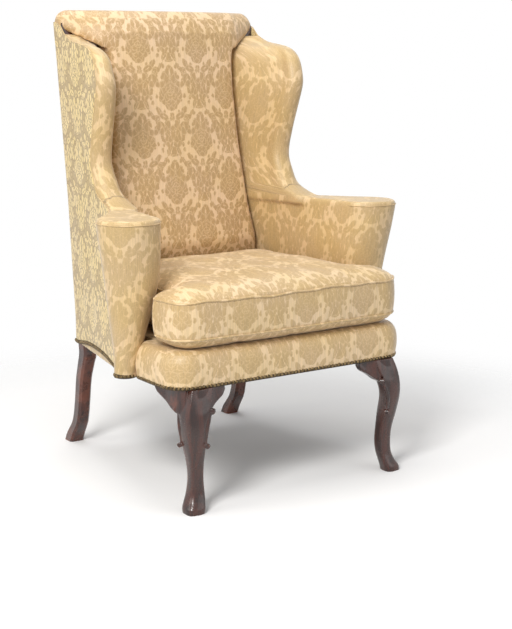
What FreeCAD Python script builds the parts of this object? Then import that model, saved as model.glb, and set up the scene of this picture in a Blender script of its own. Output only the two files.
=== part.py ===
# Georgian wing armchair on cabriole front legs, with a loose T-shaped seat cushion.
# Millimetres. The chair faces -Y, +X is on the right of someone who looks at its front, +Z is up.
# All depths below are measured back from the centre line of the front feet.
# On saving, every piece moves so that the origin is the middle of the floor plan.
import FreeCAD, Part
import math
import os

V = FreeCAD.Vector

# Heights
RAIL_BOTTOM = 302.0
RAIL_TOP = 366.0
ARM_TOP = 688.0
BACK_TOP = 1180.0
PANEL_TOP = 1149.0
CREST_RAIL_BOTTOM = 1078.0
CREST_RAIL_TOP = 1146.0
LOWER_BACK_RAIL_BOTTOM = 398.0
LOWER_BACK_RAIL_HEIGHT = 42.0

# Side panel: half width and depth of its rear edge, and how much it flares per millimetre forward,
# each at the seat rail, at the arm top and at the top of the back; beside the rail it hangs plumb
PANEL_LEVELS = (RAIL_TOP, ARM_TOP, PANEL_TOP)
REAR_HALF_WIDTH = (284.0, 287.5, 300.0)
REAR_DEPTH = (633.0, 652.5, 684.0)
FLARE = (0.19, 0.10, 0.06)

# Cloth, webbing and clearances
COVER = 2.5
WEB = 1.2
HESSIAN = 1.2
WEB_LAP = 6.0
SOFT_GAP = 0.3
BOARD_GAP = 1.5
NODE_GAP = 0.2
FLAT_ENOUGH = 1e-6

# Front feet and legs
FOOT_HALF_SPACING = 299.0
POST_SIDE = 56.0
POST_CORNER_OUT = 2.0
LEG_TOP = RAIL_TOP

# Rear legs
REAR_LEG_HALF_SPACING = 261.0
REAR_POST = 40.0
HEEL_DEPTH = 727.0
REAR_FOOT = 42.0
REAR_CHAMFER = 6.0
REAR_LEG_FACETS = 18
SPLICE_FRONT = 252.0
SPLICE_REAR = 298.0

# Seat frame
FRONT_RAIL_DEPTH = 4.0
FRONT_RAIL_THICK = 30.0
SIDE_RAIL_THICK = 45.0
REAR_RAIL_THICK = 28.0
EAR_BLOCK_REAR = 184.0
EAR_BLOCK_INNER = 283.0
GLUE_BLOCK = 48.0
RAIL_ARCH = 17.0
RAIL_ARCH_FRONT = 270.0
RAIL_ARCH_REAR = 606.0

# Arm and wing frame
BOARD = 27.0
ARM_RAIL_HEIGHT = 36.0
ARM_RAIL_TOP = 656.0
SUPPORT_FOOT = (32.0, 48.0)
SUPPORT_HEAD = (66.0, 52.0)
SUPPORT_FOOT_FRONT = 197.0
SUPPORT_HEAD_FRONT = 148.0
SUPPORT_HEAD_INNER = 326.0
UPRIGHT_WIDTH = 44.0
UPRIGHT_FOOT = 740.0
UPRIGHT_HEAD = 1017.0
WING_RAIL_HEIGHT = 40.0
WING_RAIL_FRONT = 434.0
EDGE_PADDING = 3.0

# Rolled front of the arm, from the foot up: height, outermost half width, radius, foremost depth
ARM_ROLL = (
    (300.0, 387.0, 25.0, 187.0),
    (RAIL_TOP, 391.5, 33.0, 173.0),
    (436.0, 401.0, 48.0, 158.0),
    (500.0, 408.0, 60.0, 146.0),
    (557.0, 414.5, 68.0, 134.0),
    (615.0, 424.0, 73.0, 121.0),
    (662.0, 435.0, 76.0, 111.0),
)
ARM_TOP_ROUND = 12.0
ROLL_BACK_ANGLE = 42.0
ROLL_END_ANGLE = -165.0
ROLL_FACETS = 8
ARM_FLARE_START = (262.0, 372.0)
ARM_INNER_LOW = 301.0

# Front edge of the wing, from the arm up: height, foremost depth, thickness
WING_EDGE = (
    (688.0, 322.0, 74.0),
    (702.0, 374.0, 72.0),
    (718.0, 407.0, 67.0),
    (745.0, 430.0, 63.0),
    (795.0, 452.0, 58.0),
    (860.0, 440.0, 57.0),
    (921.0, 420.0, 56.0),
    (986.0, 400.0, 52.0),
    (1017.0, 404.0, 48.0),
    (1055.0, 420.0, 44.0),
    (1077.0, 447.0, 36.0),
    (1088.0, 483.0, 28.0),
    (1099.0, 557.0, 18.0),
    (1118.0, 612.0, 10.0),
)

# Half width of the inside back along its joint with the wing and arm: height, half width
BACK_JOINT = (
    (RAIL_TOP, 262.0),
    (500.0, 258.0),
    (535.0, 249.0),
    (660.0, 225.0),
    (830.0, 205.0),
    (980.0, 196.0),
    (1050.0, 196.0),
    (1126.0, 206.0),
)

# Inside back pad: height, thickness at the joint, extra crown in the middle
BACK_PAD = (
    (RAIL_TOP, 54.0, 9.0),
    (505.0, 54.0, 9.0),
    (560.0, 76.0, 14.0),
    (1126.0, 60.0, 14.0),
)
CROWN_FACETS = 8
CREST_FRONT = 556.0
CREST_OVERHANG = 1.0

# Seat pad with its rolled front and ears
ROLL_FRONT = 0.0
EAR_HALF_WIDTH = 348.0
EAR_REAR = 183.0
EAR_CORNER = 65.0
ROLL_BULGE = 7.0
DECK_TOP = 388.0

# Loose cushion
CUSHION_FRONT = -22.0
CUSHION_BOW = 4.0
CUSHION_BULGE = 6.0
CUSHION_EAR_HALF = 343.0
CUSHION_EAR_REAR = 136.0
CUSHION_NECK = 279.0
CUSHION_REAR_HALF = 243.0
CUSHION_REAR = 512.0
CUSHION_BOTTOM_SEAM = 403.0
CUSHION_TOP_SEAM = 506.0
CUSHION_CROWN = 546.0
CORNER_CHORDS = 3

FRONT_REACH = CUSHION_FRONT - CUSHION_BOW - CUSHION_BULGE
MIDDLE_DEPTH = (FRONT_REACH + HEEL_DEPTH) / 2


def between(value, stations):
    """Read a piecewise linear rule given as (place, value) pairs."""
    for (a, va), (b, vb) in zip(stations, stations[1:]):
        if value <= b:
            break
    share = (value - a) / (b - a)
    return va + (vb - va) * share


def at_level(z, values):
    return between(max(z, RAIL_TOP), tuple(zip(PANEL_LEVELS, values)))


def smooth(value, stations):
    """Read a smooth curve through (place, value) pairs, with slopes taken from the neighbours."""
    last = len(stations) - 1
    slopes = []
    for i in range(last + 1):
        a, va = stations[max(i - 1, 0)]
        b, vb = stations[min(i + 1, last)]
        slopes.append((vb - va) / (b - a))
    for i in range(last):
        if value <= stations[i + 1][0]:
            break
    (a, va), (b, vb) = stations[i], stations[i + 1]
    u = (value - a) / (b - a)
    rise = va * (1 - 3 * u * u + 2 * u ** 3) + vb * (3 * u * u - 2 * u ** 3)
    return rise + (b - a) * (slopes[i] * (u - 2 * u * u + u ** 3) + slopes[i + 1] * (u ** 3 - u * u))


def rear_half_width(z):
    return at_level(z, REAR_HALF_WIDTH)


def rear_depth(z):
    return at_level(z, REAR_DEPTH)


def panel_x(y, z):
    """Half width of the outside panel at a depth and height."""
    return rear_half_width(z) + at_level(z, FLARE) * (rear_depth(z) - y)


def post_front(z):
    """Front face of the back post."""
    return rear_depth(z) - COVER - REAR_POST


def pad_rear(z):
    """Where stuffing starts, in front of the posts, the back webbing and its hessian."""
    return post_front(z) - 2 * WEB - HESSIAN - SOFT_GAP


def box(x0, x1, y0, y1, z0, z1):
    return Part.makeBox(x1 - x0, y1 - y0, z1 - z0, V(x0, y0, z0))


def polygon(points):
    return Part.makePolygon([V(*p) for p in points] + [V(*points[0])])


def prism(points, direction):
    return Part.Face(polygon(points)).extrude(V(*direction))


def facet(corners):
    return Part.Face(Part.makePolygon(list(corners) + [corners[0]]))


def skin(wires):
    """Join closed polygons of as many corners, each flat, by flat facets into one solid."""
    rings = [[vertex.Point for vertex in wire.OrderedVertexes] for wire in wires]
    faces = [facet(rings[0]), facet(rings[-1])]
    for low, high in zip(rings, rings[1:]):
        for i in range(len(low)):
            a, b, c, d = low[i - 1], low[i], high[i], high[i - 1]
            if abs((b - a).cross(c - a).dot(d - a)) < FLAT_ENOUGH:
                faces.append(facet((a, b, c, d)))
            else:
                faces += [facet((a, b, c)), facet((a, c, d))]
    shell = Part.makeShell(faces)
    shell.sewShape()
    solid = Part.makeSolid(shell)
    if solid.Volume < 0:
        solid.reverse()
    return solid


def plan_quad(x_inner, x_outer, y_front, y_rear, z):
    """A rectangle in plan whose outer side is given at its front and rear."""
    return polygon([
        (x_inner[0], y_front, z),
        (x_outer[0], y_front, z),
        (x_outer[1], y_rear, z),
        (x_inner[1], y_rear, z),
    ])


def mirrored(shape):
    return shape.mirror(V(0, 0, 0), V(1, 0, 0))


def largest(shape):
    """Keep the main solid where a cut leaves crumbs."""
    return max(shape.Solids, key=lambda s: s.Volume)


def save(name, shape):
    """Write one piece, moved so that the origin is the middle of the floor plan."""
    placed = shape.copy()
    placed.translate(V(0, -MIDDLE_DEPTH, 0))
    placed.exportStep("parts/" + name + ".step")


def save_pair(name, right):
    save(name + "_right", right)
    save(name + "_left", mirrored(right))


# Front leg. Stations from the floor up: height, reach outward and inward along the diagonal
# from the foot's centre, and half width across the diagonal.
LEG_STATIONS = (
    (0.0, 28.0, -22.0, 27.0),
    (13.0, 26.5, -24.5, 28.5),
    (31.0, 14.0, -30.0, 26.0),
    (52.0, 5.5, -36.0, 22.5),
    (82.0, 3.0, -39.0, 19.8),
    (118.0, 6.5, -37.0, 21.5),
    (160.0, 17.0, -33.0, 28.0),
    (205.0, 25.5, -28.5, 31.5),
    (241.0, 25.0, -38.0, 36.0),
    (272.0, 18.0, -64.0, 40.0),
    (RAIL_BOTTOM - 4.0, 6.0, -77.0, 40.0),
)
LEG_FACETS = 30
LEG_SWELL = (1.22, 1.06)
KNEE_START = 255.0
ROOT2 = math.sqrt(2.0)


def leg_point(s, t, z):
    """A point s outward along the leg's diagonal and t across it."""
    return V(FOOT_HALF_SPACING + (s + t) / ROOT2, (t - s) / ROOT2, z)


def leg_section(z, out, back, half):
    """Ridges in front, at both sides and behind, with the faces between them swelling in the shin."""
    middle = (out + back) / 2
    swell = between(z, ((0.0, LEG_SWELL[0]), (KNEE_START - 60.0, LEG_SWELL[0]), (KNEE_START, LEG_SWELL[1])))
    swell = max(swell, 1.0)
    ridges = ((out, 0.0), (middle, half), (back, 0.0), (middle, -half))
    points = []
    for (s0, t0), (s1, t1) in zip(ridges, ridges[1:] + ridges[:1]):
        points.append(leg_point(s0, t0, z))
        for share in (0.33, 0.67):
            s = s0 + (s1 - s0) * share - middle
            t = t0 + (t1 - t0) * share
            points.append(leg_point(middle + s * swell, t * swell, z))
    return Part.makePolygon(points + points[:1])


def post_square():
    """Plan of the square post above the knee: its outer front corner lies on the diagonal."""
    x1 = FOOT_HALF_SPACING + POST_CORNER_OUT / ROOT2 + 12.0
    y0 = -POST_CORNER_OUT / ROOT2 + 12.0
    return x1 - POST_SIDE, x1, y0, y0 + POST_SIDE


def leg_form(z):
    """The leg's reach outward and inward and its half width at a height."""
    return [smooth(z, [(station[0], station[k]) for station in LEG_STATIONS]) for k in (1, 2, 3)]


def front_leg():
    """The cabriole curve: a smooth line through the stations, cut into short facets."""
    top = LEG_STATIONS[-1][0]
    levels = [top * step / LEG_FACETS for step in range(LEG_FACETS + 1)]
    leg = skin([leg_section(z, *leg_form(z)) for z in levels])
    x0, x1, y0, y1 = post_square()
    post = box(x0, x1, y0, y1, RAIL_BOTTOM - 4.0, LEG_TOP)
    return leg.fuse(post)


# Knee bracket: reach along the rail, and the scroll down the side of the leg
BRACKET_REACH = 203.0
BRACKET_STATIONS = (
    (BRACKET_REACH, 286.0, 3.0),
    (214.0, 273.0, 0.0),
    (237.0, 260.0, -6.0),
    (254.0, 248.0, -12.0),
    (272.0, 240.0, -16.0),
)
BRACKET_BACK = 24.0
SCROLL_STATIONS = (
    (247.0, -18.0, 41.5),
    (226.0, -9.0, 39.0),
    (202.0, -4.0, 35.5),
    (180.0, -5.0, 33.0),
    (166.0, -7.0, 33.0),
)
SCROLL_WIDTH = 9.0
SCROLL_DEPTH = 11.0
VOLUTE_RADIUS = 6.5
VOLUTE_EYE = 2.6
VOLUTE_RELIEF = 3.0
LOW_VOLUTE = (-6.0, 33.5, 163.0)
HIGH_VOLUTE = (-18.0, 43.0, 248.0)


def leg_direction(s, t):
    return leg_point(s, t, 0) - leg_point(0, 0, 0)


def volute(s, t, z):
    """A small scroll end: a disc that faces out along the diagonal, with a sunk ring round its eye."""
    axis = leg_direction(1, 0)
    disc = Part.makeCylinder(VOLUTE_RADIUS, SCROLL_DEPTH + 1.0, leg_point(s - SCROLL_DEPTH / 2, t, z), axis)
    face = leg_point(s + SCROLL_DEPTH / 2 + 1.0 - VOLUTE_RELIEF, t, z)
    ring = Part.makeCylinder(VOLUTE_RADIUS - 1.8, VOLUTE_RELIEF, face, axis)
    eye = Part.makeCylinder(VOLUTE_EYE, VOLUTE_RELIEF, face, axis)
    return disc.cut(ring.cut(eye))


def leg_scroll(side):
    """The raised C strip from the bracket's lower end to the small volute above the shin."""
    wires = []
    for z, s, t in SCROLL_STATIONS:
        corners = ((s - SCROLL_DEPTH / 2, t), (s + SCROLL_DEPTH / 2, t),
                   (s + SCROLL_DEPTH / 2, t - SCROLL_WIDTH), (s - SCROLL_DEPTH / 2, t - SCROLL_WIDTH))
        wires.append(Part.makePolygon([leg_point(a, side * b, z) for a, b in corners + corners[:1]]))
    strip = skin(wires)
    s, t, z = LOW_VOLUTE
    low = volute(s, side * t, z)
    s, t, z = HIGH_VOLUTE
    return strip.fuse([low, volute(s, side * t, z)])


def bracket_body():
    """The curved bracket under the front rail, on the inner side of the right leg."""
    wires = []
    for x, z, y in BRACKET_STATIONS:
        wires.append(polygon([
            (x, y, z), (x, y + 3.0, RAIL_BOTTOM), (x, BRACKET_BACK, RAIL_BOTTOM), (x, BRACKET_BACK, z + 2.0),
        ]))
    return skin(wires)


def to_side(shape):
    """Turn a bracket from the front of the leg to its side, across the leg's diagonal plane."""
    centre = V(FOOT_HALF_SPACING, 0, 0)
    return shape.mirror(centre, V(1, 1, 0))


def knee_brackets(leg):
    front = bracket_body().fuse(leg_scroll(-1.0)).cut(leg)
    side = to_side(bracket_body()).fuse(leg_scroll(1.0)).cut(leg)
    return front, side


# Rear leg stations from the floor up: height, centre depth, side
REAR_LEG_STATIONS = (
    (0.0, HEEL_DEPTH - REAR_FOOT / 2, REAR_FOOT),
    (24.0, 694.0, 41.0),
    (66.0, 664.0, 37.0),
    (122.0, 649.0, 35.5),
    (193.0, 636.0, 36.0),
    (240.0, 619.0, 38.0),
    (270.0, 607.5, 40.0),
    (RAIL_BOTTOM, rear_depth(RAIL_BOTTOM) - COVER - REAR_POST / 2, REAR_POST),
)


def chamfered_square(x, y, z, side):
    h = side / 2
    c = REAR_CHAMFER
    return polygon([
        (x - h + c, y - h, z), (x + h - c, y - h, z), (x + h, y - h + c, z), (x + h, y + h - c, z),
        (x + h - c, y + h, z), (x - h + c, y + h, z), (x - h, y + h - c, z), (x - h, y - h + c, z),
    ])


def rear_leg_and_post():
    """The leg is spliced to the post on a slanting scarf just below the seat rail."""
    depths = [(z, y) for z, y, _ in REAR_LEG_STATIONS]
    sides = [(z, side) for z, _, side in REAR_LEG_STATIONS]
    levels = [RAIL_BOTTOM * step / REAR_LEG_FACETS for step in range(REAR_LEG_FACETS + 1)]
    whole = skin([chamfered_square(REAR_LEG_HALF_SPACING, smooth(z, depths), z, smooth(z, sides)) for z in levels])
    front = post_front(RAIL_BOTTOM) - 60.0
    rear = rear_depth(RAIL_BOTTOM) + 60.0
    slope = (SPLICE_REAR - SPLICE_FRONT) / REAR_POST
    low = SPLICE_FRONT - slope * 60.0
    high = SPLICE_REAR + slope * 60.0
    above = prism([(0, front, low), (0, rear, high), (0, rear, 2 * PANEL_TOP), (0, front, 2 * PANEL_TOP)],
                  (2 * REAR_LEG_HALF_SPACING, 0, 0))
    leg = whole.cut(above)
    tip = whole.common(above)
    wires = []
    for z in (RAIL_BOTTOM, RAIL_TOP, ARM_TOP, CREST_RAIL_TOP):
        outer = rear_half_width(z) - COVER
        rear = rear_depth(z) - COVER
        wires.append(plan_quad((outer - REAR_POST,) * 2, (outer,) * 2, rear - REAR_POST, rear, z))
    post = skin(wires)
    return leg, post.fuse(tip)


# Seat frame
def side_rail():
    """Runs along the foot of the side panel; its underside rises in a low arch."""
    y0 = EAR_BLOCK_REAR + NODE_GAP
    y1 = post_front(RAIL_BOTTOM) - NODE_GAP
    outer = (panel_x(y0, RAIL_TOP) - COVER, panel_x(y1, RAIL_TOP) - COVER)
    inner = (outer[0] - SIDE_RAIL_THICK, outer[1] - SIDE_RAIL_THICK)
    wires = [plan_quad(inner, outer, y0, y1, z) for z in (RAIL_BOTTOM, RAIL_TOP)]
    return skin(wires).cut(rail_arch(RAIL_BOTTOM))


def rail_arch(z0):
    """The low arch under the side rail and the side cover."""
    middle = (RAIL_ARCH_FRONT + RAIL_ARCH_REAR) / 2
    rise = Part.Arc(V(0, RAIL_ARCH_FRONT, z0), V(0, middle, z0 + RAIL_ARCH), V(0, RAIL_ARCH_REAR, z0))
    under = Part.makePolygon([
        V(0, RAIL_ARCH_REAR, z0), V(0, RAIL_ARCH_REAR, z0 - 40.0),
        V(0, RAIL_ARCH_FRONT, z0 - 40.0), V(0, RAIL_ARCH_FRONT, z0),
    ])
    return Part.Face(Part.Wire([rise.toShape()] + under.Edges)).extrude(V(2 * EAR_HALF_WIDTH, 0, 0))


def seat_frame():
    x0, x1, y0, y1 = post_square()
    inner_post = x0 - NODE_GAP
    front_rail = box(-inner_post, inner_post, FRONT_RAIL_DEPTH, FRONT_RAIL_DEPTH + FRONT_RAIL_THICK,
                     RAIL_BOTTOM, RAIL_TOP)
    post_inner = rear_half_width(RAIL_BOTTOM) - COVER - REAR_POST
    rear = rear_depth(RAIL_BOTTOM) - COVER
    rear_rail = box(-post_inner + NODE_GAP, post_inner - NODE_GAP, rear - REAR_RAIL_THICK, rear - NODE_GAP,
                    RAIL_BOTTOM, RAIL_TOP)
    ear_outer = EAR_HALF_WIDTH - ROLL_BULGE
    ear = box(EAR_BLOCK_INNER, ear_outer, y1 + NODE_GAP, EAR_BLOCK_REAR, RAIL_BOTTOM, RAIL_TOP)
    return front_rail, rear_rail, ear


def glue_blocks():
    """Triangular blocks in the four inner corners of the seat frame."""
    x0, x1, y0, y1 = post_square()
    z0 = RAIL_BOTTOM + 8.0
    height = RAIL_TOP - RAIL_BOTTOM - 16.0
    corner_y = FRONT_RAIL_DEPTH + FRONT_RAIL_THICK + NODE_GAP
    corner_x = x0 - NODE_GAP
    front = prism([(corner_x, corner_y, z0), (corner_x - GLUE_BLOCK, corner_y, z0),
                   (corner_x, corner_y + y1 - y0 - FRONT_RAIL_THICK, z0)], (0, 0, height))
    rear_x = rear_half_width(RAIL_BOTTOM) - COVER - REAR_POST - NODE_GAP
    rear_y = rear_depth(RAIL_BOTTOM) - COVER - REAR_RAIL_THICK - NODE_GAP
    rear = prism([(rear_x, rear_y, z0), (rear_x - GLUE_BLOCK, rear_y, z0),
                  (rear_x, rear_y - (REAR_POST - REAR_RAIL_THICK), z0)], (0, 0, height))
    return front, rear


# Arm and wing frame
def board_section(y_front, y_rear, z):
    """Plan of a board that lies just inside the side panel."""
    outer = (panel_x(y_front, z) - COVER - BOARD_GAP, panel_x(y_rear, z) - COVER - BOARD_GAP)
    inner = (outer[0] - BOARD, outer[1] - BOARD)
    return plan_quad(inner, outer, y_front, y_rear, z)


def arm_support():
    """Leaning post that carries the rolled front of the arm; it spreads into the scroll's width."""
    z0 = RAIL_TOP + NODE_GAP
    outer = panel_x(SUPPORT_FOOT_FRONT + SUPPORT_FOOT[1], z0) - COVER
    foot = plan_quad((outer - SUPPORT_FOOT[0],) * 2, (outer,) * 2, SUPPORT_FOOT_FRONT,
                     SUPPORT_FOOT_FRONT + SUPPORT_FOOT[1], z0)
    head = plan_quad((SUPPORT_HEAD_INNER,) * 2, (SUPPORT_HEAD_INNER + SUPPORT_HEAD[0],) * 2, SUPPORT_HEAD_FRONT,
                     SUPPORT_HEAD_FRONT + SUPPORT_HEAD[1], ARM_RAIL_TOP)
    return skin([foot, head])


def board_front(depth, thick):
    """Front edge of the wing's boards, just behind the seam of the outside cover."""
    return depth + thick / 2 + EDGE_PADDING


def arm_rail():
    """From the arm support back to the post; it carries the wing upright."""
    y0 = SUPPORT_HEAD_FRONT + SUPPORT_HEAD[1] + 6.0
    y1 = post_front(ARM_RAIL_TOP - ARM_RAIL_HEIGHT) - NODE_GAP
    bend = ARM_FLARE_START[1]
    wires = []
    for y in (y0, bend, y1):
        spread = max(0.0, (bend - y) / (bend - y0))
        x_out = panel_x(max(y, bend), ARM_RAIL_TOP) - COVER - BOARD_GAP + spread * 38.0
        x_in = x_out - BOARD - spread * 18.0
        z0 = ARM_RAIL_TOP - ARM_RAIL_HEIGHT
        wires.append(polygon([(x_in, y, z0), (x_out, y, z0), (x_out, y, ARM_RAIL_TOP), (x_in, y, ARM_RAIL_TOP)]))
    return skin(wires)


def wing_upright():
    """Shaped front board of the wing, cut to the wing's S curve."""
    wires = []
    bottom = ARM_RAIL_TOP + NODE_GAP
    stations = [(z, board_front(depth, thick)) for z, depth, thick in WING_EDGE if UPRIGHT_FOOT < z < UPRIGHT_HEAD]
    wires.append(board_section(stations[0][1], stations[0][1] + UPRIGHT_WIDTH, bottom))
    for z, y in stations + [(UPRIGHT_HEAD, stations[-1][1] + 1.0)]:
        wires.append(board_section(y, y + UPRIGHT_WIDTH, z))
    return skin(wires)


def wing_top_rail():
    """Joins the top of the wing upright to the back post under the wing's top edge."""
    z0 = UPRIGHT_HEAD + NODE_GAP
    wires = []
    y_front = WING_RAIL_FRONT
    for y, top in ((y_front, 1036.0), (y_front + UPRIGHT_WIDTH, 1058.0), (560.0, 1074.0), (0.0, 1084.0)):
        if y == 0.0:
            y = post_front(z0) - NODE_GAP
        x_out = panel_x(y, top) - COVER - BOARD_GAP
        low = z0 if y <= y_front + UPRIGHT_WIDTH else top - WING_RAIL_HEIGHT
        wires.append(polygon([(x_out - BOARD, y, low), (x_out, y, low), (x_out, y, top), (x_out - BOARD, y, top)]))
    return skin(wires)


# Upholstered side
def back_joint(z):
    return between(z, BACK_JOINT)


def side_section(z, outer, radius, front, inner, flare, angle, inset=0.0):
    """Plan of the upholstered side: panel, flare, rolled front, inside face, rear."""
    centre_x = outer - radius
    centre_y = front + radius
    r = radius - inset
    y_rear = pad_rear(z)

    def on_roll(degrees):
        a = math.radians(degrees)
        return V(centre_x + r * math.cos(a), centre_y + r * math.sin(a), z)

    turn = [on_roll(angle + (ROLL_END_ANGLE - angle) * step / ROLL_FACETS) for step in range(ROLL_FACETS + 1)]
    points = [
        V(panel_x(y_rear, z) - inset, y_rear, z),
        V(panel_x(flare, z) - inset, flare, z),
        *turn,
        V(inner + inset, centre_y + 15.0, z),
        V(back_joint(z) + SOFT_GAP + inset, y_rear, z),
    ]
    return Part.makePolygon(points + points[:1])


def arm_form():
    """Outer form of the upholstered arm."""
    wires = []
    flare_rule = ((RAIL_BOTTOM, ARM_FLARE_START[0]), (ARM_TOP, ARM_FLARE_START[1]))
    for z, outer, radius, front in ARM_ROLL:
        inner = min(outer - 2 * radius, ARM_INNER_LOW)
        wires.append(side_section(z, outer, radius, front, inner, between(z, flare_rule), ROLL_BACK_ANGLE))
    z, outer, radius, front = ARM_ROLL[-1]
    inner = outer - 2 * radius
    for share in (0.5, 1.0):
        rise = math.sqrt(1.0 - (1.0 - share) ** 2)
        level = z + (ARM_TOP - z) * rise
        inset = ARM_TOP_ROUND * share
        wires.append(side_section(level, outer, radius, front, inner, ARM_FLARE_START[1], ROLL_BACK_ANGLE, inset))
    return skin(wires)


def wing_form():
    """Outer form of the upholstered wing."""
    wires = []
    for z, depth, thick in WING_EDGE:
        radius = thick / 2
        level = z if z > ARM_TOP else ARM_TOP + SOFT_GAP
        outer = panel_x(depth + radius, z)
        inner = outer - thick
        flare = depth + radius + 8.0
        wires.append(side_section(level, outer, radius, depth, inner, flare, 6.0))
    return skin(wires)


def arm_hollow():
    """The space of the arm's frame, open to the outside panel."""
    wires = []
    deep = 14.0
    levels = ((RAIL_BOTTOM - 10.0, SIDE_RAIL_THICK), (RAIL_TOP + 2.0, SIDE_RAIL_THICK))
    for z, thick in levels + ((RAIL_TOP + 2.1, BOARD + deep), (ARM_RAIL_TOP, BOARD + 2.0)):
        flare_rule = ((RAIL_BOTTOM, ARM_FLARE_START[0]), (ARM_TOP, ARM_FLARE_START[1]))
        y0 = between(z, flare_rule) - 1.0
        y1 = pad_rear(z) + 30.0
        outer = (panel_x(y0, z) + 12.0, panel_x(y1, z) + 12.0)
        inner = (panel_x(y0, z) - COVER - thick - SOFT_GAP, panel_x(y1, z) - COVER - thick - SOFT_GAP)
        wires.append(plan_quad(inner, outer, y0, y1, z))
    return skin(wires)


def wing_hollow():
    """The space of the wing's frame, open to the outside panel."""
    wires = []
    for z, depth, thick in WING_EDGE:
        if z < 700.0 or z > 1030.0:
            continue
        y0 = board_front(depth, thick) - 0.5
        y1 = pad_rear(z) + 30.0
        outer = (panel_x(y0, z) + 12.0, panel_x(y1, z) + 12.0)
        inner = (panel_x(y0, z) - COVER - BOARD_GAP - BOARD - SOFT_GAP, panel_x(y1, z) - COVER - BOARD_GAP - BOARD - SOFT_GAP)
        wires.append(plan_quad(inner, outer, y0, y1, z))
    low = wires[0].copy()
    low.translate(V(0, 0, ARM_TOP - 702.0 - 2.0))
    return skin([low] + wires)


def seat_space():
    """The space over the seat rails that webbing and hessian take, which the arm's stuffing stands on."""
    z0 = RAIL_BOTTOM - 10.0
    z1 = RAIL_TOP + 2 * WEB + HESSIAN + SOFT_GAP
    y0 = EAR_REAR + 6.0
    y1 = rear_depth(RAIL_TOP)
    return prism([(0, y0, z0), (rail_inner(y0) + 30.0, y0, z0), (rail_inner(y1) + 30.0, y1, z0), (0, y1, z0)],
                 (0, 0, z1 - z0))


def cover_quad(y_front, z, proud):
    y1 = rear_depth(z)
    outer = (panel_x(y_front, z), panel_x(y1, z))
    inner = (outer[0] - COVER, outer[1] - COVER)
    return plan_quad(inner, (outer[0] + proud, outer[1] + proud), y_front, y1, z)


def side_cover(proud=0.0):
    """The outside panel in one piece, from the seat rail to the top of the back.

    Standing proud it is the space that the stuffing leaves free.
    """
    flare_rule = ((RAIL_BOTTOM, ARM_FLARE_START[0]), (ARM_TOP, ARM_FLARE_START[1]))
    wires = [cover_quad(between(z, flare_rule), z, proud) for z in (RAIL_BOTTOM, RAIL_TOP, 500.0, 615.0, 670.0)]
    for z, depth, thick in WING_EDGE:
        if z > ARM_TOP:
            wires.append(cover_quad(depth + thick / 2 + 1.0, z, proud))
    for y, z in ((640.0, 1141.0), (670.0, PANEL_TOP)):
        wires.append(cover_quad(y, z, proud))
    return skin(wires).cut(rail_arch(RAIL_BOTTOM))


def outside_back():
    """The outside back cover, flat between the rear edges of the side panels."""
    wires = []
    for z in (RAIL_BOTTOM, RAIL_TOP, ARM_TOP, PANEL_TOP):
        x = rear_half_width(z) - COVER - NODE_GAP
        y1 = rear_depth(z)
        wires.append(plan_quad((-x,) * 2, (x,) * 2, y1 - COVER + NODE_GAP, y1, z))
    return skin(wires)


# Back webbing, hessian and pad
def back_layer(x0, x1, z0, z1, depth, thick):
    """A flat strip on the front faces of the posts, lying depth in front of them."""
    wires = []
    for z in [z0] + [ARM_TOP] * (z0 < ARM_TOP < z1) + [z1]:
        y1 = post_front(z) - depth
        wires.append(plan_quad((x0,) * 2, (x1,) * 2, y1 - thick, y1, z))
    return skin(wires)


def back_webbing():
    strips = []
    z0 = LOWER_BACK_RAIL_BOTTOM + 6.0
    z1 = CREST_RAIL_TOP - 10.0
    for x in (-165.0, -55.0, 55.0, 165.0):
        strips.append(back_layer(x - 25.0, x + 25.0, z0, z1, 0.0, WEB))
    reach = rear_half_width(ARM_TOP) - COVER - BOARD_GAP - BOARD - 4.0
    for z in (520.0, 640.0, 760.0, 880.0, 1000.0):
        strips.append(back_layer(-reach, reach, z - 25.0, z + 25.0, WEB, WEB))
    return Part.makeCompound(strips)


def back_hessian():
    reach = rear_half_width(ARM_TOP) - COVER - BOARD_GAP - BOARD - 2.0
    return back_layer(-reach, reach, LOWER_BACK_RAIL_BOTTOM, CREST_RAIL_TOP - 6.0, 2 * WEB, HESSIAN)


def back_rails():
    """Crest rail and lower back rail between the posts."""
    rails = []
    lower_top = LOWER_BACK_RAIL_BOTTOM + LOWER_BACK_RAIL_HEIGHT
    for z0, z1 in ((CREST_RAIL_BOTTOM, CREST_RAIL_TOP), (LOWER_BACK_RAIL_BOTTOM, lower_top)):
        wires = []
        for z in (z0, z1):
            x = rear_half_width(z) - COVER - REAR_POST - NODE_GAP
            y1 = rear_depth(z) - COVER
            wires.append(plan_quad((-x,) * 2, (x,) * 2, y1 - REAR_POST, y1 - NODE_GAP, z))
        rails.append(skin(wires))
    return rails


def back_pad_section(z, ahead, crown):
    """Plan of the inside back: flat behind, crowned in front."""
    w = back_joint(z) - SOFT_GAP
    y1 = pad_rear(z)
    y0 = y1 - ahead
    front = []
    for step in range(CROWN_FACETS + 1):
        across = 2 * step / CROWN_FACETS - 1
        front.append((w * across, y0 - crown * (1 - across * across), z))
    return polygon(front + [(w, y1, z), (-w, y1, z)])


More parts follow.
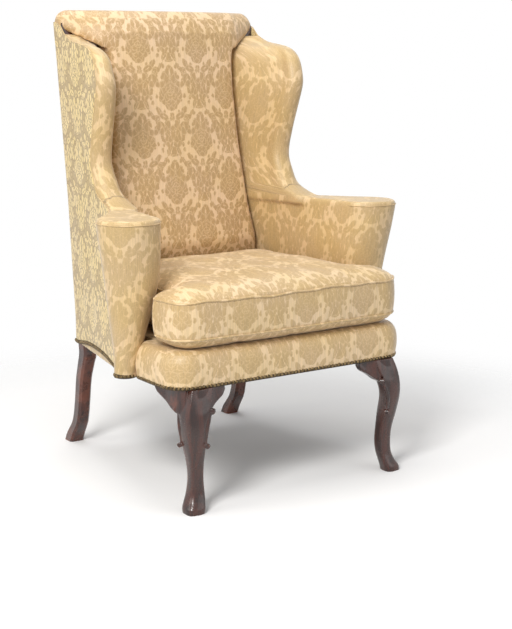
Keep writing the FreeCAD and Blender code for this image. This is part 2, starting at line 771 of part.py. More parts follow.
def crest_section(x, drop):
    """Profile of the rolled crest across the top of the back; drop rounds its ends."""
    rear = rear_depth(PANEL_TOP) + CREST_OVERHANG - drop
    front = CREST_FRONT + drop
    top = BACK_TOP - drop
    low_front = 1096.0
    ledge = 1123.0
    step = 1145.0
    points = []
    for degrees in (0.0, 22.5, 45.0, 67.5, 90.0):
        a = math.radians(degrees)
        points.append((x, front + 55.0 * (1 - math.cos(a)), low_front + 14.0 + (top - low_front - 14.0) * math.sin(a)))
    for degrees in (0.0, 30.0, 60.0, 90.0):
        a = math.radians(degrees)
        points.append((x, rear - 26.0 * (1 - math.sin(a)), top - 26.0 * (1 - math.cos(a))))
    under = top - 28.0 if drop else PANEL_TOP + 3.0
    points += [(x, rear, min(under, PANEL_TOP + 3.0)), (x, 640.0, step), (x, 618.0, ledge), (x, front + 4.0, low_front)]
    return polygon(points)


def crest_roll():
    half = rear_half_width(PANEL_TOP) + CREST_OVERHANG
    ends = ((half, 16.0), (half - 4.0, 8.0), (half - 12.0, 3.0), (half - 26.0, 0.0))
    wires = [crest_section(-x, drop) for x, drop in ends]
    wires += [crest_section(x, drop) for x, drop in reversed(ends)]
    return skin(wires)


def inside_back_pad(frame):
    bottom = LOWER_BACK_RAIL_BOTTOM - 6.0
    wires = []
    for z, _ in ((bottom, 0), ) + BACK_JOINT[1:]:
        ahead = between(z, tuple((level, thick) for level, thick, _ in BACK_PAD))
        crown = between(z, tuple((level, rise) for level, _, rise in BACK_PAD))
        wires.append(back_pad_section(z, ahead, crown))
    pad = skin(wires).fuse(crest_roll())
    for piece in frame:
        pad = pad.cut(piece)
    return largest(pad)


# Seat
def rounded(points):
    """A closed plan outline through corners given as (x, y, radius, z), each turned by short chords."""
    outline = []
    count = len(points)
    for i in range(count):
        x, y, radius, z = points[i]
        here = V(x, y, z)
        before = V(points[i - 1][0], points[i - 1][1], z) - here
        after = V(points[(i + 1) % count][0], points[(i + 1) % count][1], z) - here
        before.normalize()
        after.normalize()
        half = before.getAngle(after) / 2
        bisector = before + after
        bisector.normalize()
        centre = here + bisector * (radius / math.sin(half))
        start = here + before * (radius / math.tan(half)) - centre
        end = here + after * (radius / math.tan(half)) - centre
        for step in range(CORNER_CHORDS + 1):
            share = step / CORNER_CHORDS
            turn = math.pi - 2 * half
            point = start * (math.sin((1 - share) * turn) / math.sin(turn)) + end * (math.sin(share * turn) / math.sin(turn))
            outline.append(centre + point)
    return Part.makePolygon(outline + outline[:1])


def ear_outline(z, out, rear=EAR_REAR):
    """Plan of the front of the seat pad, grown outward by a distance."""
    w = EAR_HALF_WIDTH + out
    front = ROLL_FRONT - out
    corner = EAR_CORNER + out
    return rounded([(-w, rear, 8.0, z), (-w, front, corner, z), (w, front, corner, z), (w, rear, 8.0, z)])


def seat_pad(frame, arms):
    """Deck with the rolled front edge and the ears that pass in front of the arms."""
    levels = ((RAIL_BOTTOM - 2.0, 0.0), (318.0, 0.6), (342.0, 1.0), (362.0, 0.5), (377.0, -0.8), (DECK_TOP, -3.4))
    roll = skin([ear_outline(z, ROLL_BULGE * share) for z, share in levels])
    y1 = pad_rear(DECK_TOP)
    z0 = RAIL_TOP + 2 * WEB + HESSIAN + SOFT_GAP
    deck = prism([(-300.0, 150.0, z0), (300.0, 150.0, z0), (262.0, y1, z0), (-262.0, y1, z0)],
                 (0, 0, DECK_TOP - z0))
    pad = roll.fuse(deck)
    inside = Part.Face(ear_outline(RAIL_BOTTOM - 20.0, -FRONT_RAIL_DEPTH, 300.0)).extrude(
        V(0, 0, z0 - RAIL_BOTTOM + 20.0))
    pad = pad.cut(inside)
    for piece in frame + arms:
        pad = pad.cut(piece)
    return largest(pad)


def cushion_outline(z, inset):
    """Plan of the T-shaped cushion."""
    ear = CUSHION_EAR_HALF - inset
    rear = CUSHION_REAR - inset
    front = CUSHION_FRONT + inset
    neck_front = CUSHION_NECK - inset
    neck_rear = CUSHION_REAR_HALF - inset
    ear_rear = CUSHION_EAR_REAR - inset
    return rounded([
        (-neck_rear, rear, 34.0, z), (-neck_front, ear_rear, 10.0, z), (-ear, ear_rear, 18.0, z),
        (-ear, front + 6.0, 44.0, z), (-110.0, front - CUSHION_BOW, 300.0, z),
        (110.0, front - CUSHION_BOW, 300.0, z), (ear, front + 6.0, 44.0, z),
        (ear, ear_rear, 18.0, z), (neck_front, ear_rear, 10.0, z), (neck_rear, rear, 34.0, z),
    ])


def seat_cushion():
    """Boxed cushion: its walls swell between the two seams, its top is crowned, its base is flat."""
    bottom = DECK_TOP + SOFT_GAP
    half = (CUSHION_TOP_SEAM + CUSHION_BOTTOM_SEAM) / 2
    quarter = (CUSHION_TOP_SEAM - CUSHION_BOTTOM_SEAM) / 4
    levels = (
        (bottom, 34.0),
        (bottom + 6.0, 12.0),
        (CUSHION_BOTTOM_SEAM, 0.0),
        (half - quarter, -0.75 * CUSHION_BULGE),
        (half, -CUSHION_BULGE),
        (half + quarter, -0.75 * CUSHION_BULGE),
        (CUSHION_TOP_SEAM, 0.0),
        (CUSHION_TOP_SEAM + 10.0, 12.0),
        (CUSHION_TOP_SEAM + 18.0, 26.0),
        (CUSHION_TOP_SEAM + 24.0, 44.0),
    )
    body = skin([cushion_outline(z, inset) for z, inset in levels])
    dome = []
    low = CUSHION_TOP_SEAM + 20.0
    for share in (0.0, 0.35, 0.65, 0.88, 1.0):
        z = low + (CUSHION_CROWN - low) * math.sin(share * math.pi / 2)
        w = 205.0 * (1.0 - 0.55 * share)
        y0 = 46.0 + 110.0 * share
        y1 = 470.0 - 110.0 * share
        dome.append(rounded([(-w, y0, 70.0, z), (w, y0, 70.0, z), (w, y1, 70.0, z), (-w, y1, 70.0, z)]))
    return body.fuse(skin(dome))


def rail_inner(y):
    """Inner edge of the side rail at its top."""
    return panel_x(y, RAIL_TOP) - COVER - SIDE_RAIL_THICK


def seat_webbing():
    strips = []
    y0 = FRONT_RAIL_DEPTH + 6.0
    y1 = rear_depth(RAIL_TOP) - COVER - 8.0
    for x in (-184.0, -92.0, 0.0, 92.0, 184.0):
        strips.append(box(x - 25.0, x + 25.0, y0, y1, RAIL_TOP, RAIL_TOP + WEB))
    for y in (130.0, 235.0, 340.0, 445.0, 550.0):
        x = rail_inner(y + 25.0) + WEB_LAP if y > EAR_BLOCK_REAR else EAR_BLOCK_INNER + WEB_LAP
        strips.append(box(-x, x, y - 25.0, y + 25.0, RAIL_TOP + WEB, RAIL_TOP + 2 * WEB))
    return Part.makeCompound(strips)


def seat_hessian():
    z0 = RAIL_TOP + 2 * WEB
    y0 = FRONT_RAIL_DEPTH + 16.0
    y1 = post_front(RAIL_TOP) - 6.0
    y2 = EAR_BLOCK_REAR + 12.0
    side = rail_inner(y2) + WEB_LAP - 3.0
    rear = rail_inner(y1) + WEB_LAP
    return prism([(-side, y0, z0), (side, y0, z0), (side, y2, z0), (rear, y1, z0), (-rear, y1, z0), (-side, y2, z0)],
                 (0, 0, HESSIAN))


def dust_cover():
    """Black cloth under the seat, tacked to the undersides of the rails."""
    z0 = RAIL_BOTTOM - 1.0
    x0, x1, y0, y1 = post_square()
    front = y1 + 34.0
    rear = post_front(RAIL_BOTTOM) - 4.0
    wide = EAR_BLOCK_INNER + 8.0
    far = panel_x(rear, RAIL_BOTTOM) - COVER - SIDE_RAIL_THICK + 8.0
    low_front = FRONT_RAIL_DEPTH + 20.0
    sheet = [(-x0 + 60.0, low_front, z0), (x0 - 60.0, low_front, z0), (x0 - 60.0, front, z0), (wide, front, z0),
             (wide, 200.0, z0), (far, rear, z0), (-far, rear, z0), (-wide, 200.0, z0),
             (-wide, front, z0), (-x0 + 60.0, front, z0)]
    return prism(sheet, (0, 0, 1.0))


def main():
    os.makedirs("parts", exist_ok=True)
    leg = front_leg()
    bracket_front, bracket_side = knee_brackets(leg)
    rear_leg, post = rear_leg_and_post()
    front_rail, rear_rail, ear = seat_frame()
    rail = side_rail()
    block_front, block_rear = glue_blocks()
    support = arm_support()
    arm_board = arm_rail().cut(support)
    upright = wing_upright()
    wing_rail = wing_top_rail()
    cover = side_cover()
    crest_rail, lower_rail = back_rails()

    panel_space = side_cover(12.0)
    arm = arm_form().cut(arm_hollow())
    for piece in (support, arm_board, upright, panel_space, rail, ear, seat_space()):
        arm = arm.cut(piece)
    arm = largest(arm)
    wing = wing_form().cut(wing_hollow())
    for piece in (upright, wing_rail, panel_space):
        wing = wing.cut(piece)
    wing = largest(wing)

    save_pair("front_leg", leg)
    save_pair("knee_bracket_front", bracket_front)
    save_pair("knee_bracket_side", bracket_side)
    save_pair("rear_leg", rear_leg)
    save_pair("back_post", post)
    save_pair("side_rail", rail)
    save_pair("ear_block", ear)
    save_pair("corner_block_front", block_front)
    save_pair("corner_block_rear", block_rear)
    save_pair("arm_support", support)
    save_pair("arm_rail", arm_board)
    save_pair("wing_upright", upright)
    save_pair("wing_top_rail", wing_rail)
    save_pair("outside_side_cover", cover)
    save_pair("arm_pad", arm)
    save_pair("wing_pad", wing)
    save("front_rail", front_rail)
    save("rear_rail", rear_rail)
    save("crest_rail", crest_rail)
    save("lower_back_rail", lower_rail)
    save("outside_back_cover", outside_back())
    save("back_webbing", back_webbing())
    save("back_hessian", back_hessian())
    save("seat_webbing", seat_webbing())
    save("seat_hessian", seat_hessian())
    save("dust_cover", dust_cover())
    frame = [post, mirrored(post), crest_rail, back_hessian(), wing, mirrored(wing), cover, mirrored(cover)]
    save("inside_back_pad", inside_back_pad(frame + [outside_back()]))
    pieces = [leg, mirrored(leg), front_rail, ear, mirrored(ear)]
    pieces += [bracket_front, mirrored(bracket_front), bracket_side, mirrored(bracket_side)]
    save("seat_pad", seat_pad(pieces, [arm, mirrored(arm)]))
    save("seat_cushion", seat_cushion())


main()
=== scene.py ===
"""Dresses the wing armchair: damask covers over stuffed forms, a loose cushion, brass nails and carved legs.

All sizes are in metres. Depths are measured back from the centre line of the front feet, and every mesh is
moved by MIDDLE_DEPTH, so that the origin is the middle of the floor plan. The chair faces -Y.
"""

import math

import bmesh
import bpy
import numpy as np
from bpy.props import FloatProperty, FloatVectorProperty, PointerProperty
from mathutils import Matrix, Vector
from mathutils.bvhtree import BVHTree
from mathutils.geometry import delaunay_2d_cdt


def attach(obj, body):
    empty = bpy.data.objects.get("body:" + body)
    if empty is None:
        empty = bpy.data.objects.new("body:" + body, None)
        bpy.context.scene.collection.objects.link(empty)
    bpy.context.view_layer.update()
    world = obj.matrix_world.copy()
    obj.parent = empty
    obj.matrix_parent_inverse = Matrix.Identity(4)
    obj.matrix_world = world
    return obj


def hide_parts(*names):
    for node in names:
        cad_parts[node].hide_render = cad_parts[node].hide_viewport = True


bl_info = {
    "name": "Wing armchair",
    "version": (1, 0, 0),
    "blender": (4, 5, 0),
    "location": "3D View > Sidebar > Armchair",
    "description": "Dresses a wing armchair with its covers, cushion, nails and carved legs",
    "category": "Object",
}

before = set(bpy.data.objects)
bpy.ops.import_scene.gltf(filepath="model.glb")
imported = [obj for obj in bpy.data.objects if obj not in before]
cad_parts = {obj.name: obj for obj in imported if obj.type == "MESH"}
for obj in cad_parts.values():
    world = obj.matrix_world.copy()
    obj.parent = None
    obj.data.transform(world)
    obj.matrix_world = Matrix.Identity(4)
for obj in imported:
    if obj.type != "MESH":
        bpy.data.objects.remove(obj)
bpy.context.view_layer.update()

MIDDLE_DEPTH = 0.3475
COVER = 0.0025
RAIL_BOTTOM = 0.300
REAR_BOTTOM = RAIL_BOTTOM
RAIL_TOP = 0.366
ARM_TOP = 0.688
PANEL_TOP = 1.149
BACK_TOP = 1.180
REAR_POST = 0.040
STUFFING_GAP = 0.0039

# Outside panel at the seat rail, at the arm top and at the top of the back
PANEL_LEVELS = (RAIL_TOP, ARM_TOP, PANEL_TOP)
REAR_HALF_WIDTH = (0.284, 0.2875, 0.300)
REAR_DEPTH = (0.633, 0.6525, 0.684)
FLARE = (0.19, 0.10, 0.06)
FLARE_START = ((RAIL_BOTTOM, 0.262), (ARM_TOP, 0.368))
PANEL_TIP = ((0.640, PANEL_TOP - 0.008), (0.670, PANEL_TOP))
ARCH = (
    (0.200, RAIL_BOTTOM), (0.270, RAIL_BOTTOM), (0.354, 0.3135), (0.438, 0.3175), (0.522, 0.3135),
    (0.606, RAIL_BOTTOM), (0.650, RAIL_BOTTOM),
)

# Rolled front of the arm: height, outermost half width, radius, foremost depth
ARM_ROLL = (
    (RAIL_BOTTOM - 0.002, 0.388, 0.026, 0.186),
    (RAIL_TOP, 0.393, 0.034, 0.170),
    (0.436, 0.402, 0.048, 0.152),
    (0.5, 0.410, 0.060, 0.137),
    (0.557, 0.418, 0.068, 0.125),
    (0.615, 0.428, 0.073, 0.115),
    (ARM_TOP - 0.014, 0.437, 0.0765, 0.108),
)
ARM_INNER_LOW = 0.301

# Front edge of the wing: height, foremost depth, thickness
WING_EDGE = (
    (ARM_TOP, 0.322, 0.074),
    (0.702, 0.371, 0.072),
    (0.718, 0.404, 0.067),
    (0.745, 0.424, 0.063),
    (0.795, 0.446, 0.058),
    (0.86, 0.434, 0.057),
    (0.921, 0.414, 0.056),
    (0.986, 0.394, 0.052),
    (1.017, 0.398, 0.048),
    (1.055, 0.414, 0.044),
    (1.077, 0.441, 0.036),
    (1.088, 0.477, 0.028),
    (1.099, 0.555, 0.018),
    (1.118, 0.610, 0.010),
)

# Half width of the inside back where it meets the wing and arm
BACK_JOINT = (
    (RAIL_TOP, 0.262), (0.5, 0.257), (0.535, 0.246), (0.66, 0.219),
    (0.83, 0.198), (0.98, 0.189), (1.05, 0.190), (1.126, 0.203),
)
# Inside back: height, thickness at the joint, extra crown in the middle
BACK_PAD = ((RAIL_TOP, 0.054, 0.009), (0.505, 0.054, 0.009), (0.56, 0.076, 0.014), (1.126, 0.060, 0.014))
CREST_FRONT = 0.5595
CREST_FLAT_HALF = 0.204
CREST_SLANT = 0.70
# The crest stands proud of the panels, its front bows, its underside climbs past the flat part
CREST_PROUD = 0.001
CREST_BOW = 0.018
CREST_LOW = 1.080
CREST_CLIMB = 0.55
# Rounds of its ends, its front and its rear
CREST_END = 0.032
CREST_END_DROP = 0.028
CREST_FRONT_ROUND = 0.055
CREST_REAR_ROUND = 0.026

# Seat pad: front, half width, rear and corner radius of its ears
ROLL_FRONT = 0.001
EAR_HALF_WIDTH = 0.347
EAR_REAR = 0.183
EAR_CORNER = 0.065
EAR_BACK_CORNER = 0.008
EAR_CHORDS = 14
ROLL_BULGE = 0.0055
DECK_TOP = 0.388

# Loose cushion
CUSHION_FRONT = -0.010
CUSHION_BOW = 0.004
CUSHION_EAR_HALF = 0.340
CUSHION_EAR_REAR = 0.126
CUSHION_CORNER = 0.070
CUSHION_NECK = 0.279
CUSHION_REAR_HALF = 0.243
CUSHION_REAR = 0.512
CUSHION_BOTTOM = DECK_TOP + 0.0006
CUSHION_BOTTOM_SEAM = 0.414
CUSHION_TOP_SEAM = 0.505
CUSHION_CROWN = 0.546

# Front leg: height, reach outward and inward on the diagonal from the foot's centre, half width across it
FOOT_HALF_SPACING = 0.299
LEG_STATIONS = (
    (0.0, 0.0280, -0.0220, 0.0270),
    (0.0123, 0.0265, -0.0245, 0.0285),
    (0.0294, 0.0140, -0.0300, 0.0260),
    (0.0494, 0.0055, -0.0360, 0.0225),
    (0.0798, 0.0030, -0.0390, 0.0198),
    (0.1168, 0.0065, -0.0370, 0.0215),
    (0.1596, 0.0170, -0.0330, 0.0280),
    (0.2042, 0.0255, -0.0285, 0.0315),
    (0.239, 0.0250, -0.0380, 0.0360),
    (0.27, 0.0180, -0.0640, 0.0400),
    (RAIL_BOTTOM - 0.001, 0.0060, -0.0770, 0.0400),
)
LEG_SWELL = ((0.0, 1.22), (0.1947, 1.22), (0.253, 1.06))
# Knee bracket: share of its reach, height of its lower edge, and how far its face bows out
BRACKET_STATIONS = (
    (1.0, 0.2855, -0.004), (0.93, 0.275, -0.002), (0.80, 0.267, 0.001), (0.65, 0.258, 0.004),
    (0.47, 0.245, 0.010), (0.28, 0.237, 0.014), (0.10, 0.235, 0.014),
)
FRONT_BRACKET = (-0.095, 0.005)
SIDE_BRACKET = (0.032, 0.128)
BRACKET_BACK = 0.022
SCROLL_STATIONS = (
    (0.245, -0.018, 0.0395), (0.2242, -0.009, 0.0375), (0.2014, -0.004, 0.034), (0.1805, -0.005, 0.0315),
    (0.1672, -0.007, 0.0315),
)
HIGH_VOLUTE = (-0.018, 0.043, 0.246)
LOW_VOLUTE = (-0.006, 0.0335, 0.164)

# Rear leg: height, centre depth, side
REAR_LEG_HALF_SPACING = 0.261
REAR_LEG_STATIONS = (
    (0.0, 0.706, 0.042), (0.0228, 0.694, 0.041), (0.0646, 0.664, 0.037), (0.1206, 0.649, 0.0355),
    (0.1919, 0.636, 0.036), (0.239, 0.619, 0.038), (0.269, 0.6075, 0.040), (RAIL_BOTTOM, 0.6105, 0.040),
)
SPLICE = (0.252, 0.298)
REAR_CHAMFER = 0.006

# Grain of the meshes
COVER_VOXEL = 0.005
SEAT_VOXEL = 0.003
CUSHION_VOXEL = 0.006
CARVING_VOXEL = 0.0015

# Repeat of the damask: its medallions stand in staggered rows
REPEAT_WIDTH = 0.178
REPEAT_HEIGHT = 0.250
# Where a medallion lies on the inside back
MEDALLION = (0.063, 1.087)


class ArmchairSizes(bpy.types.PropertyGroup):
    cushion_fill: FloatProperty(
        name="Cushion fill", description="Pressure of the cushion's filling against its cover",
        default=4.0, min=0.0, max=20.0)
    cushion_swell: FloatProperty(
        name="Cushion swell", description="Most that the filling may push the cover out",
        default=0.006, subtype="DISTANCE", unit="LENGTH")
    piping: FloatProperty(name="Piping", description="Diameter of the cord along the cushion's seams",
                          default=0.0052, subtype="DISTANCE", unit="LENGTH")
    nail_pitch: FloatProperty(name="Nail pitch", description="Distance between the nails along an edge",
                              default=0.0102, subtype="DISTANCE", unit="LENGTH")
    nail_head: FloatProperty(name="Nail head", description="Diameter of a nail's domed head",
                             default=0.0092, subtype="DISTANCE", unit="LENGTH")


class ArmchairColours(bpy.types.PropertyGroup):
    figure: FloatVectorProperty(name="Figure", description="Satin figure of the inside back", subtype="COLOR",
                                size=3, min=0.0, max=1.0, default=(0.46, 0.31, 0.15))
    ground: FloatVectorProperty(
        name="Ground", description="Ribbed ground of the inside back", subtype="COLOR",
        size=3, min=0.0, max=1.0, default=(0.74, 0.55, 0.345))
    # The outside panels' colours are a lit and shaded copy of the damask: the figure is made pale as painted
    # light and the ground is darkened as painted shade, for how the satin reflects the light there
    outside: FloatVectorProperty(name="Outside", description="Figure on the outside panels", subtype="COLOR",
                                 size=3, min=0.0, max=1.0, default=(0.78, 0.62, 0.30))
    outside_shaded_ground: FloatVectorProperty(name="Outside ground", description="Ground on the outside panels",
                                        subtype="COLOR", size=3, min=0.0, max=1.0, default=(0.46, 0.35, 0.19))
    # The arm and wing colours are the damask's own colour, made a little paler as painted light where the
    # wings catch more light
    arm: FloatVectorProperty(
        name="Arm", description="Satin figure of the arms and wings", subtype="COLOR",
        size=3, min=0.0, max=1.0, default=(0.48, 0.345, 0.165))
    arm_lit_ground: FloatVectorProperty(
        name="Arm ground", description="Ground of the arms and wings", subtype="COLOR",
        size=3, min=0.0, max=1.0, default=(0.73, 0.55, 0.32))
    cushion: FloatVectorProperty(
        name="Cushion", description="Satin figure of the cushion and seat", subtype="COLOR",
        size=3, min=0.0, max=1.0, default=(0.49, 0.345, 0.165))
    cushion_ground: FloatVectorProperty(
        name="Cushion ground", description="Ground of the cushion and seat", subtype="COLOR",
        size=3, min=0.0, max=1.0, default=(0.78, 0.60, 0.37))
    walnut: FloatVectorProperty(name="Walnut", description="Polished show wood", subtype="COLOR",
                                size=3, min=0.0, max=1.0, default=(0.062, 0.016, 0.009))
    brass: FloatVectorProperty(name="Brass", description="Antiqued nail heads", subtype="COLOR",
                               size=3, min=0.0, max=1.0, default=(0.26, 0.18, 0.085))


# Rules for sizes
def between(value, stations):
    """Reads a piecewise linear rule given as (place, value) pairs."""
    return float(np.interp(value, [s[0] for s in stations], [s[1] for s in stations]))


def smooth(value, stations):
    """Reads a smooth curve through (place, value) pairs, with slopes taken from the neighbours."""
    last = len(stations) - 1
    slopes = []
    for i in range(last + 1):
        a, va = stations[max(i - 1, 0)]
        b, vb = stations[min(i + 1, last)]
        slopes.append((vb - va) / (b - a))
    i = 0
    while i < last - 1 and value > stations[i + 1][0]:
        i += 1
    (a, va), (b, vb) = stations[i], stations[i + 1]
    u = min(max((value - a) / (b - a), 0.0), 1.0)
    rise = va * (1 - 3 * u * u + 2 * u ** 3) + vb * (3 * u * u - 2 * u ** 3)
    return rise + (b - a) * (slopes[i] * (u - 2 * u * u + u ** 3) + slopes[i + 1] * (u ** 3 - u * u))


def column(table, k):
    return [(row[0], row[k]) for row in table]


def at_level(z, values):
    return between(max(z, RAIL_TOP), list(zip(PANEL_LEVELS, values)))


def rear_half_width(z):
    return at_level(z, REAR_HALF_WIDTH)


def rear_depth(z):
    return at_level(z, REAR_DEPTH)


def panel_x(y, z):
    return rear_half_width(z) + at_level(z, FLARE) * (rear_depth(z) - y)


def pad_rear(z):
    return rear_depth(z) - COVER - REAR_POST - STUFFING_GAP


def back_joint(z):
    return between(z, BACK_JOINT)


# Meshes
def new_object(name, verts, faces, depth_shift=-MIDDLE_DEPTH):
    verts = np.asarray(verts, float).reshape(-1, 3) + (0.0, depth_shift, 0.0)
    mesh = bpy.data.meshes.new(name)
    mesh.from_pydata(verts.tolist(), [], [tuple(int(i) for i in f) for f in faces])
    mesh.validate()
    mesh.update()
    obj = bpy.data.objects.new(name, mesh)
    bpy.context.scene.collection.objects.link(obj)
    return obj


def loft(rings, closed=False):
    """Vertices and faces of a solid through rings of as many points; closed makes a loop of them."""
    rings = np.asarray(rings, float)
    count, around, _ = rings.shape
    faces = []
    for k in range(count if closed else count - 1):
        a, b = k * around, (k + 1) % count * around
        for i in range(around):
            j = (i + 1) % around
            faces.append((a + i, a + j, b + j, b + i))
    if not closed:
        faces.append(tuple(range(around - 1, -1, -1)))
        faces.append(tuple(range((count - 1) * around, count * around)))
    return rings.reshape(-1, 3), faces


def joined(parts):
    """Several (vertices, faces) as one."""
    verts, faces, start = [], [], 0
    for v, f in parts:
        v = np.asarray(v, float).reshape(-1, 3)
        verts.append(v)
        faces += [tuple(start + i for i in face) for face in f]
        start += len(v)
    return np.vstack(verts), faces


def mirrored(verts, faces):
    return np.asarray(verts) * (-1.0, 1.0, 1.0), [tuple(reversed(f)) for f in faces]


def slab(front, back):
    """A closed sheet between two grids of points, given as arrays of rows."""
    rows, columns, _ = front.shape
    size = rows * columns
    verts = np.vstack([front.reshape(-1, 3), back.reshape(-1, 3)])
    faces = []
    for r in range(rows - 1):
        for c in range(columns - 1):
            a = r * columns + c
            quad = (a, a + 1, a + columns + 1, a + columns)
            faces.append(quad)
            faces.append(tuple(size + i for i in reversed(quad)))
    rim = [c for c in range(columns)] + [r * columns + columns - 1 for r in range(1, rows)]
    rim += [size - 1 - c for c in range(1, columns)] + [r * columns for r in range(rows - 2, 0, -1)]
    for a, b in zip(rim, rim[1:] + rim[:1]):
        faces.append((b, a, size + a, size + b))
    return verts, faces


def round_ring(centre, side, top, radius, count):
    angles = np.linspace(0, 2 * math.pi, count, endpoint=False)
    return [centre + radius * (math.cos(a) * side + math.sin(a) * top) for a in angles]


def tube(path, radius, up=(0.0, 0.0, 1.0), sides=8, closed=False):
    """A round cord along a path."""
    path = np.asarray(path, float)
    ahead = np.roll(path, -1, axis=0)
    behind = np.roll(path, 1, axis=0)
    if not closed:
        ahead[-1] = path[-1]
        behind[0] = path[0]
    tangent = ahead - behind
    tangent /= np.linalg.norm(tangent, axis=1)[:, None]
    side = np.cross(tangent, np.asarray(up))
    side /= np.linalg.norm(side, axis=1)[:, None]
    top = np.cross(side, tangent)
    radius = np.broadcast_to(radius, len(path))
    rings = [round_ring(p, s, t, r, sides) for p, s, t, r in zip(path, side, top, radius)]
    return loft(rings, closed)


def resampled(path, pitch):
    path = np.asarray(path, float)
    along = np.concatenate([[0.0], np.cumsum(np.linalg.norm(np.diff(path, axis=0), axis=1))])
    places = np.linspace(0.0, along[-1], max(2, int(round(along[-1] / pitch)) + 1))
    return np.stack([np.interp(places, along, path[:, k]) for k in range(3)], axis=1)


def points_of(obj):
    co = np.zeros(len(obj.data.vertices) * 3)
    obj.data.vertices.foreach_get("co", co)
    return co.reshape(-1, 3)


def set_points(obj, co):
    obj.data.vertices.foreach_set("co", np.asarray(co, float).ravel())
    obj.data.update()


def normals_of(obj):
    n = np.zeros(len(obj.data.vertices) * 3)
    obj.data.vertex_normals.foreach_get("vector", n)
    return n.reshape(-1, 3)


def apply_modifiers(obj):
    graph = bpy.context.evaluated_depsgraph_get()
    mesh = bpy.data.meshes.new_from_object(obj.evaluated_get(graph))
    obj.modifiers.clear()
    old = obj.data
    obj.data = mesh
    bpy.data.meshes.remove(old)
    return obj


def remeshed(obj, voxel):
    modifier = obj.modifiers.new("voxels", "REMESH")
    modifier.mode = "VOXEL"
    modifier.voxel_size = voxel
    modifier.use_smooth_shade = True
    return apply_modifiers(obj)


def relaxed(obj, steps, weight=None):
    """Evens out the surface; each step then swells it back, so that it doesn't shrink."""
    co = points_of(obj)
    edges = np.zeros(len(obj.data.edges) * 2, np.int64)
    obj.data.edges.foreach_get("vertices", edges)
    edges = edges.reshape(-1, 2)
    count = np.maximum(np.bincount(edges.ravel(), minlength=len(co)), 1).astype(float)[:, None]
    share = np.ones((len(co), 1)) if weight is None else weight(co + (0.0, MIDDLE_DEPTH, 0.0))[:, None]
    for step in range(steps):
        for strength in (0.5, -0.51):
            total = np.zeros_like(co)
            np.add.at(total, edges[:, 0], co[edges[:, 1]])
            np.add.at(total, edges[:, 1], co[edges[:, 0]])
            co += strength * (total / count - co) * share
    set_points(obj, co)
    return obj


def inflated(obj, pressure, cap):
    """Fills a closed cover by a short cloth simulation, then limits how far each point has moved."""
    start = points_of(obj)
    scene = bpy.context.scene
    cloth = obj.modifiers.new("filling", "CLOTH")
    settings = cloth.settings
    settings.quality = 4
    settings.mass = 0.3
    settings.tension_stiffness = 15.0
    settings.compression_stiffness = 15.0
    settings.bending_stiffness = 0.6
    settings.use_pressure = True
    settings.uniform_pressure_force = pressure
    settings.effector_weights.gravity = 0.0
    cloth.collision_settings.use_self_collision = False
    cloth.point_cache.frame_start = 1
    cloth.point_cache.frame_end = 20
    for step in range(1, 21):
        scene.frame_set(step)
    mesh = obj.evaluated_get(bpy.context.evaluated_depsgraph_get()).to_mesh()
    co = np.zeros(len(mesh.vertices) * 3)
    mesh.vertices.foreach_get("co", co)
    move = co.reshape(-1, 3) - start
    length = np.maximum(np.linalg.norm(move, axis=1), 1e-9)[:, None]
    obj.modifiers.clear()
    scene.frame_set(1)
    set_points(obj, start + move * np.minimum(1.0, cap / length))
    return obj


def lay_cloth(obj, rule):
    """Stores where each corner lies on the flat cloth, as rule(points, face normals) gives it, in metres."""
    mesh = obj.data
    layer = mesh.uv_layers.new(name="cloth")
    corners = np.zeros(len(mesh.loops), np.int64)
    mesh.loops.foreach_get("vertex_index", corners)
    co = points_of(obj)[corners] + (0.0, MIDDLE_DEPTH, 0.0)
    normals = np.zeros(len(mesh.polygons) * 3)
    mesh.polygons.foreach_get("normal", normals)
    sizes = np.zeros(len(mesh.polygons), np.int64)
    mesh.polygons.foreach_get("loop_total", sizes)
    normals = np.repeat(normals.reshape(-1, 3), sizes, axis=0)
    layer.data.foreach_set("uv", rule(co, normals).astype(np.float32).ravel())
    return obj


def dress(obj, material, body="root", replaces=(), sharp=None):
    obj.data.materials.clear()
    obj.data.materials.append(material)
    obj.data.polygons.foreach_set("use_smooth", [True] * len(obj.data.polygons))
    if sharp:
        obj.data.set_sharp_from_angle(angle=math.radians(sharp))
    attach(obj, body)
    if replaces:
        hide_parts(*replaces)
    return obj


